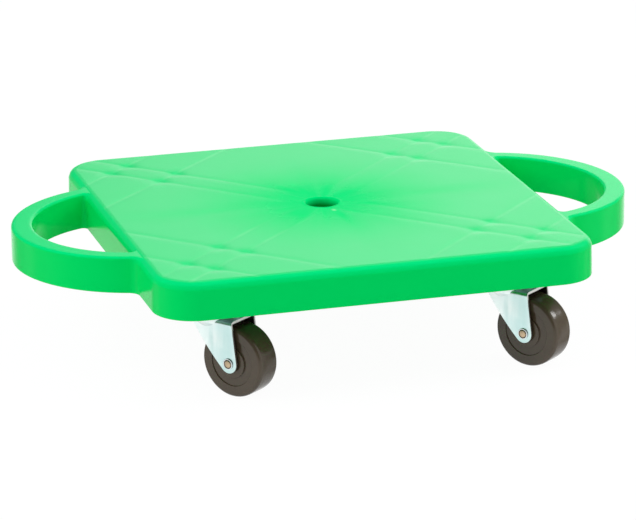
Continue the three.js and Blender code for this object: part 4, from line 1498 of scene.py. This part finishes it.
# How bright the studio looks in reflections, by the cosine of the angle to the middle of the backdrop:
# the lit backdrop, a darker gap beside and above it, and the lit room on the other side
SKY_LIGHT = (
    (-1, 1), (-0.2, 1.1), (0.1, 0.7), (0.4, 0.3), (0.58, 0.12), (0.65, 0.2), (0.69, 0.8), (0.74, 1.4),
    (0.79, 1.32), (0.83, 1.28), (0.9, 1.4), (1, 1.4),
)
FLOOR_LIGHT = (
    (-1, 1), (-0.2, 1.22), (0.05, 1.05), (0.2, 0.5), (0.32, 0.55), (0.42, 0.95), (0.56, 0.5), (0.66, 0.25),
    (0.76, 0.28), (0.82, 0.4), (0.88, 0.75), (0.94, 1.1), (1, 1.3),
)

# Brightness of the studio's walls from left to right, and of the floor straight below, each as the
# direction where it starts and ends to change and the brightness there
WALLS_LIT = (0.14, 0.245, 0.1, 0.8)
RIGHT_WALL_LIT = (0.25, 0.33, 0, 0.25)
FLOOR_BELOW = (-0.36, -0.6, 0, 0.9)
HORIZON_HALF = 0.12


def studio_ramp(graph, share, levels):
    """Brightness by the cosine, which share holds from 0 to 1."""
    ramp = graph.node("ValToRGB", {"Fac": share})
    stops = ramp.color_ramp.elements
    while len(stops) < len(levels):
        stops.new(1)
    for stop, (place, level) in zip(stops, levels):
        stop.position = (place + 1) / 2
        stop.color = (level, level, level, 1)
    return ramp.outputs[0]


def studio_reflection(graph):
    """The brightness that reflections see in a direction."""
    direction = graph.coordinate("Generated")
    flat = math.cos(BACKDROP_DIP)
    middle = (math.sin(BACKDROP_AZIMUTH) * flat, math.cos(BACKDROP_AZIMUTH) * flat, -math.sin(BACKDROP_DIP))
    cosine = graph.vector_maths("DOT_PRODUCT", direction, middle)["Value"]
    share = graph.node("MapRange", {"Value": cosine, "From Min": -1}).outputs[0]
    x, _, z = graph.parts(direction)
    walls = graph.maths("ADD", graph.spread(x, *WALLS_LIT), graph.spread(x, *RIGHT_WALL_LIT))
    sky = graph.times(studio_ramp(graph, share, SKY_LIGHT), walls)
    below = graph.spread(z, *FLOOR_BELOW)
    floor = graph.maths("MAXIMUM", studio_ramp(graph, share, FLOOR_LIGHT), below)
    return graph.mixed(graph.spread(z, -HORIZON_HALF, HORIZON_HALF), floor, sky)


def make_world():
    """A white studio: the camera sees white, reflections see the studio, and its fill lights the board."""
    world = bpy.data.worlds.new("studio")
    bpy.context.scene.world = world
    world.use_nodes = True
    graph = Graph(world.node_tree)
    graph.tree.nodes.clear()
    studio = graph.node("Background", {"Color": WHITE, "Strength": studio_reflection(graph)})
    white = graph.node("Background", {"Color": WHITE, "Strength": 1})
    fill = graph.node("Background", {"Color": WORLD_TINT, "Strength": WORLD_FILL})
    lit = graph.mixed_shader(seen_rays(graph), fill, studio)
    from_camera = graph.node("LightPath").outputs["Is Camera Ray"]
    graph.node("OutputWorld", {0: graph.mixed_shader(from_camera, lit, white).outputs[0]})


FLOOR_RADIUS = 12
FLOOR_GLOW = 0.95
FLOOR_WHITE = 1.02
FLOOR_PAPER = (0.86, 0.86, 0.86, 1)


def make_floor():
    """A white floor that glows for the camera and takes a faint shadow. Its material glows for reflections
    too, but the floor is hidden from them.
    """
    bpy.ops.mesh.primitive_circle_add(vertices=96, radius=FLOOR_RADIUS, fill_type="NGON")
    floor = bpy.context.object
    floor.name = "floor"
    material = bpy.data.materials.new("floor")
    material.use_nodes = True
    graph = Graph(material.node_tree)
    graph.tree.nodes.clear()
    paper = graph.node("BsdfDiffuse", {"Color": FLOOR_PAPER})
    glow = graph.node("Emission", {"Color": WHITE, "Strength": FLOOR_WHITE})
    above = graph.mixed_shader(graph.times(seen_rays(graph), FLOOR_GLOW), paper, glow)
    from_below = graph.node("NewGeometry").outputs["Backfacing"]
    sided = graph.mixed_shader(from_below, above, graph.node("BsdfTransparent"))
    graph.node("OutputMaterial", {0: sided.outputs[0]})
    floor.data.materials.append(material)
    floor.visible_glossy = False


# Each lamp: its direction from the board, its distance, its width, its power and its colour. The three
# soft lamps don't show in reflections, and the window lights the wheels alone
SOFT_TINT = (0.95, 0.98, 1)
SOFT_LAMPS = {
    "left_lamp": ((-0.80, -0.10, 0.57), 2.2, 1.4, 17, SOFT_TINT),
    "right_lamp": ((0.80, -0.10, 0.57), 2.2, 1.4, 20, SOFT_TINT),
    "overhead": ((0, -0.2, 1), 2.0, 2.0, 9, SOFT_TINT),
}
WINDOW = ((0.902, -0.069, 0.427), 1.69, 0.36, 4, (1, 1, 1))


def softbox(name, direction, distance, width, power, colour):
    """A square lamp that faces the board from a direction."""
    data = bpy.data.lights.new(name, "AREA")
    data.shape = "RECTANGLE"
    data.size = data.size_y = width
    data.energy = power
    data.color = colour
    lamp = bpy.data.objects.new(name, data)
    bpy.context.scene.collection.objects.link(lamp)
    away = Vector(direction).normalized()
    lamp.location = away * distance + Vector((0, 0, DECK_TOP * MM))
    lamp.rotation_mode = "QUATERNION"
    lamp.rotation_quaternion = away.to_track_quat("Z", "Y")
    lamp.visible_camera = False
    return lamp


def make_lights():
    for name, settings in SOFT_LAMPS.items():
        softbox(name, *settings).visible_glossy = False
    wheels = bpy.data.collections.new("wheels")
    for piece in bpy.context.scene.objects:
        if piece.name.endswith("_wheel_visual"):
            wheels.objects.link(piece)
    softbox("window", *WINDOW).light_linking.receiver_collection = wheels


def main():
    make_camera()
    make_world()
    make_floor()
    dress(make_deck(), "deck", "board", "green_plastic")
    make_casters()
    make_lights()
    bpy.context.scene.view_settings.view_transform = "Standard"


main()
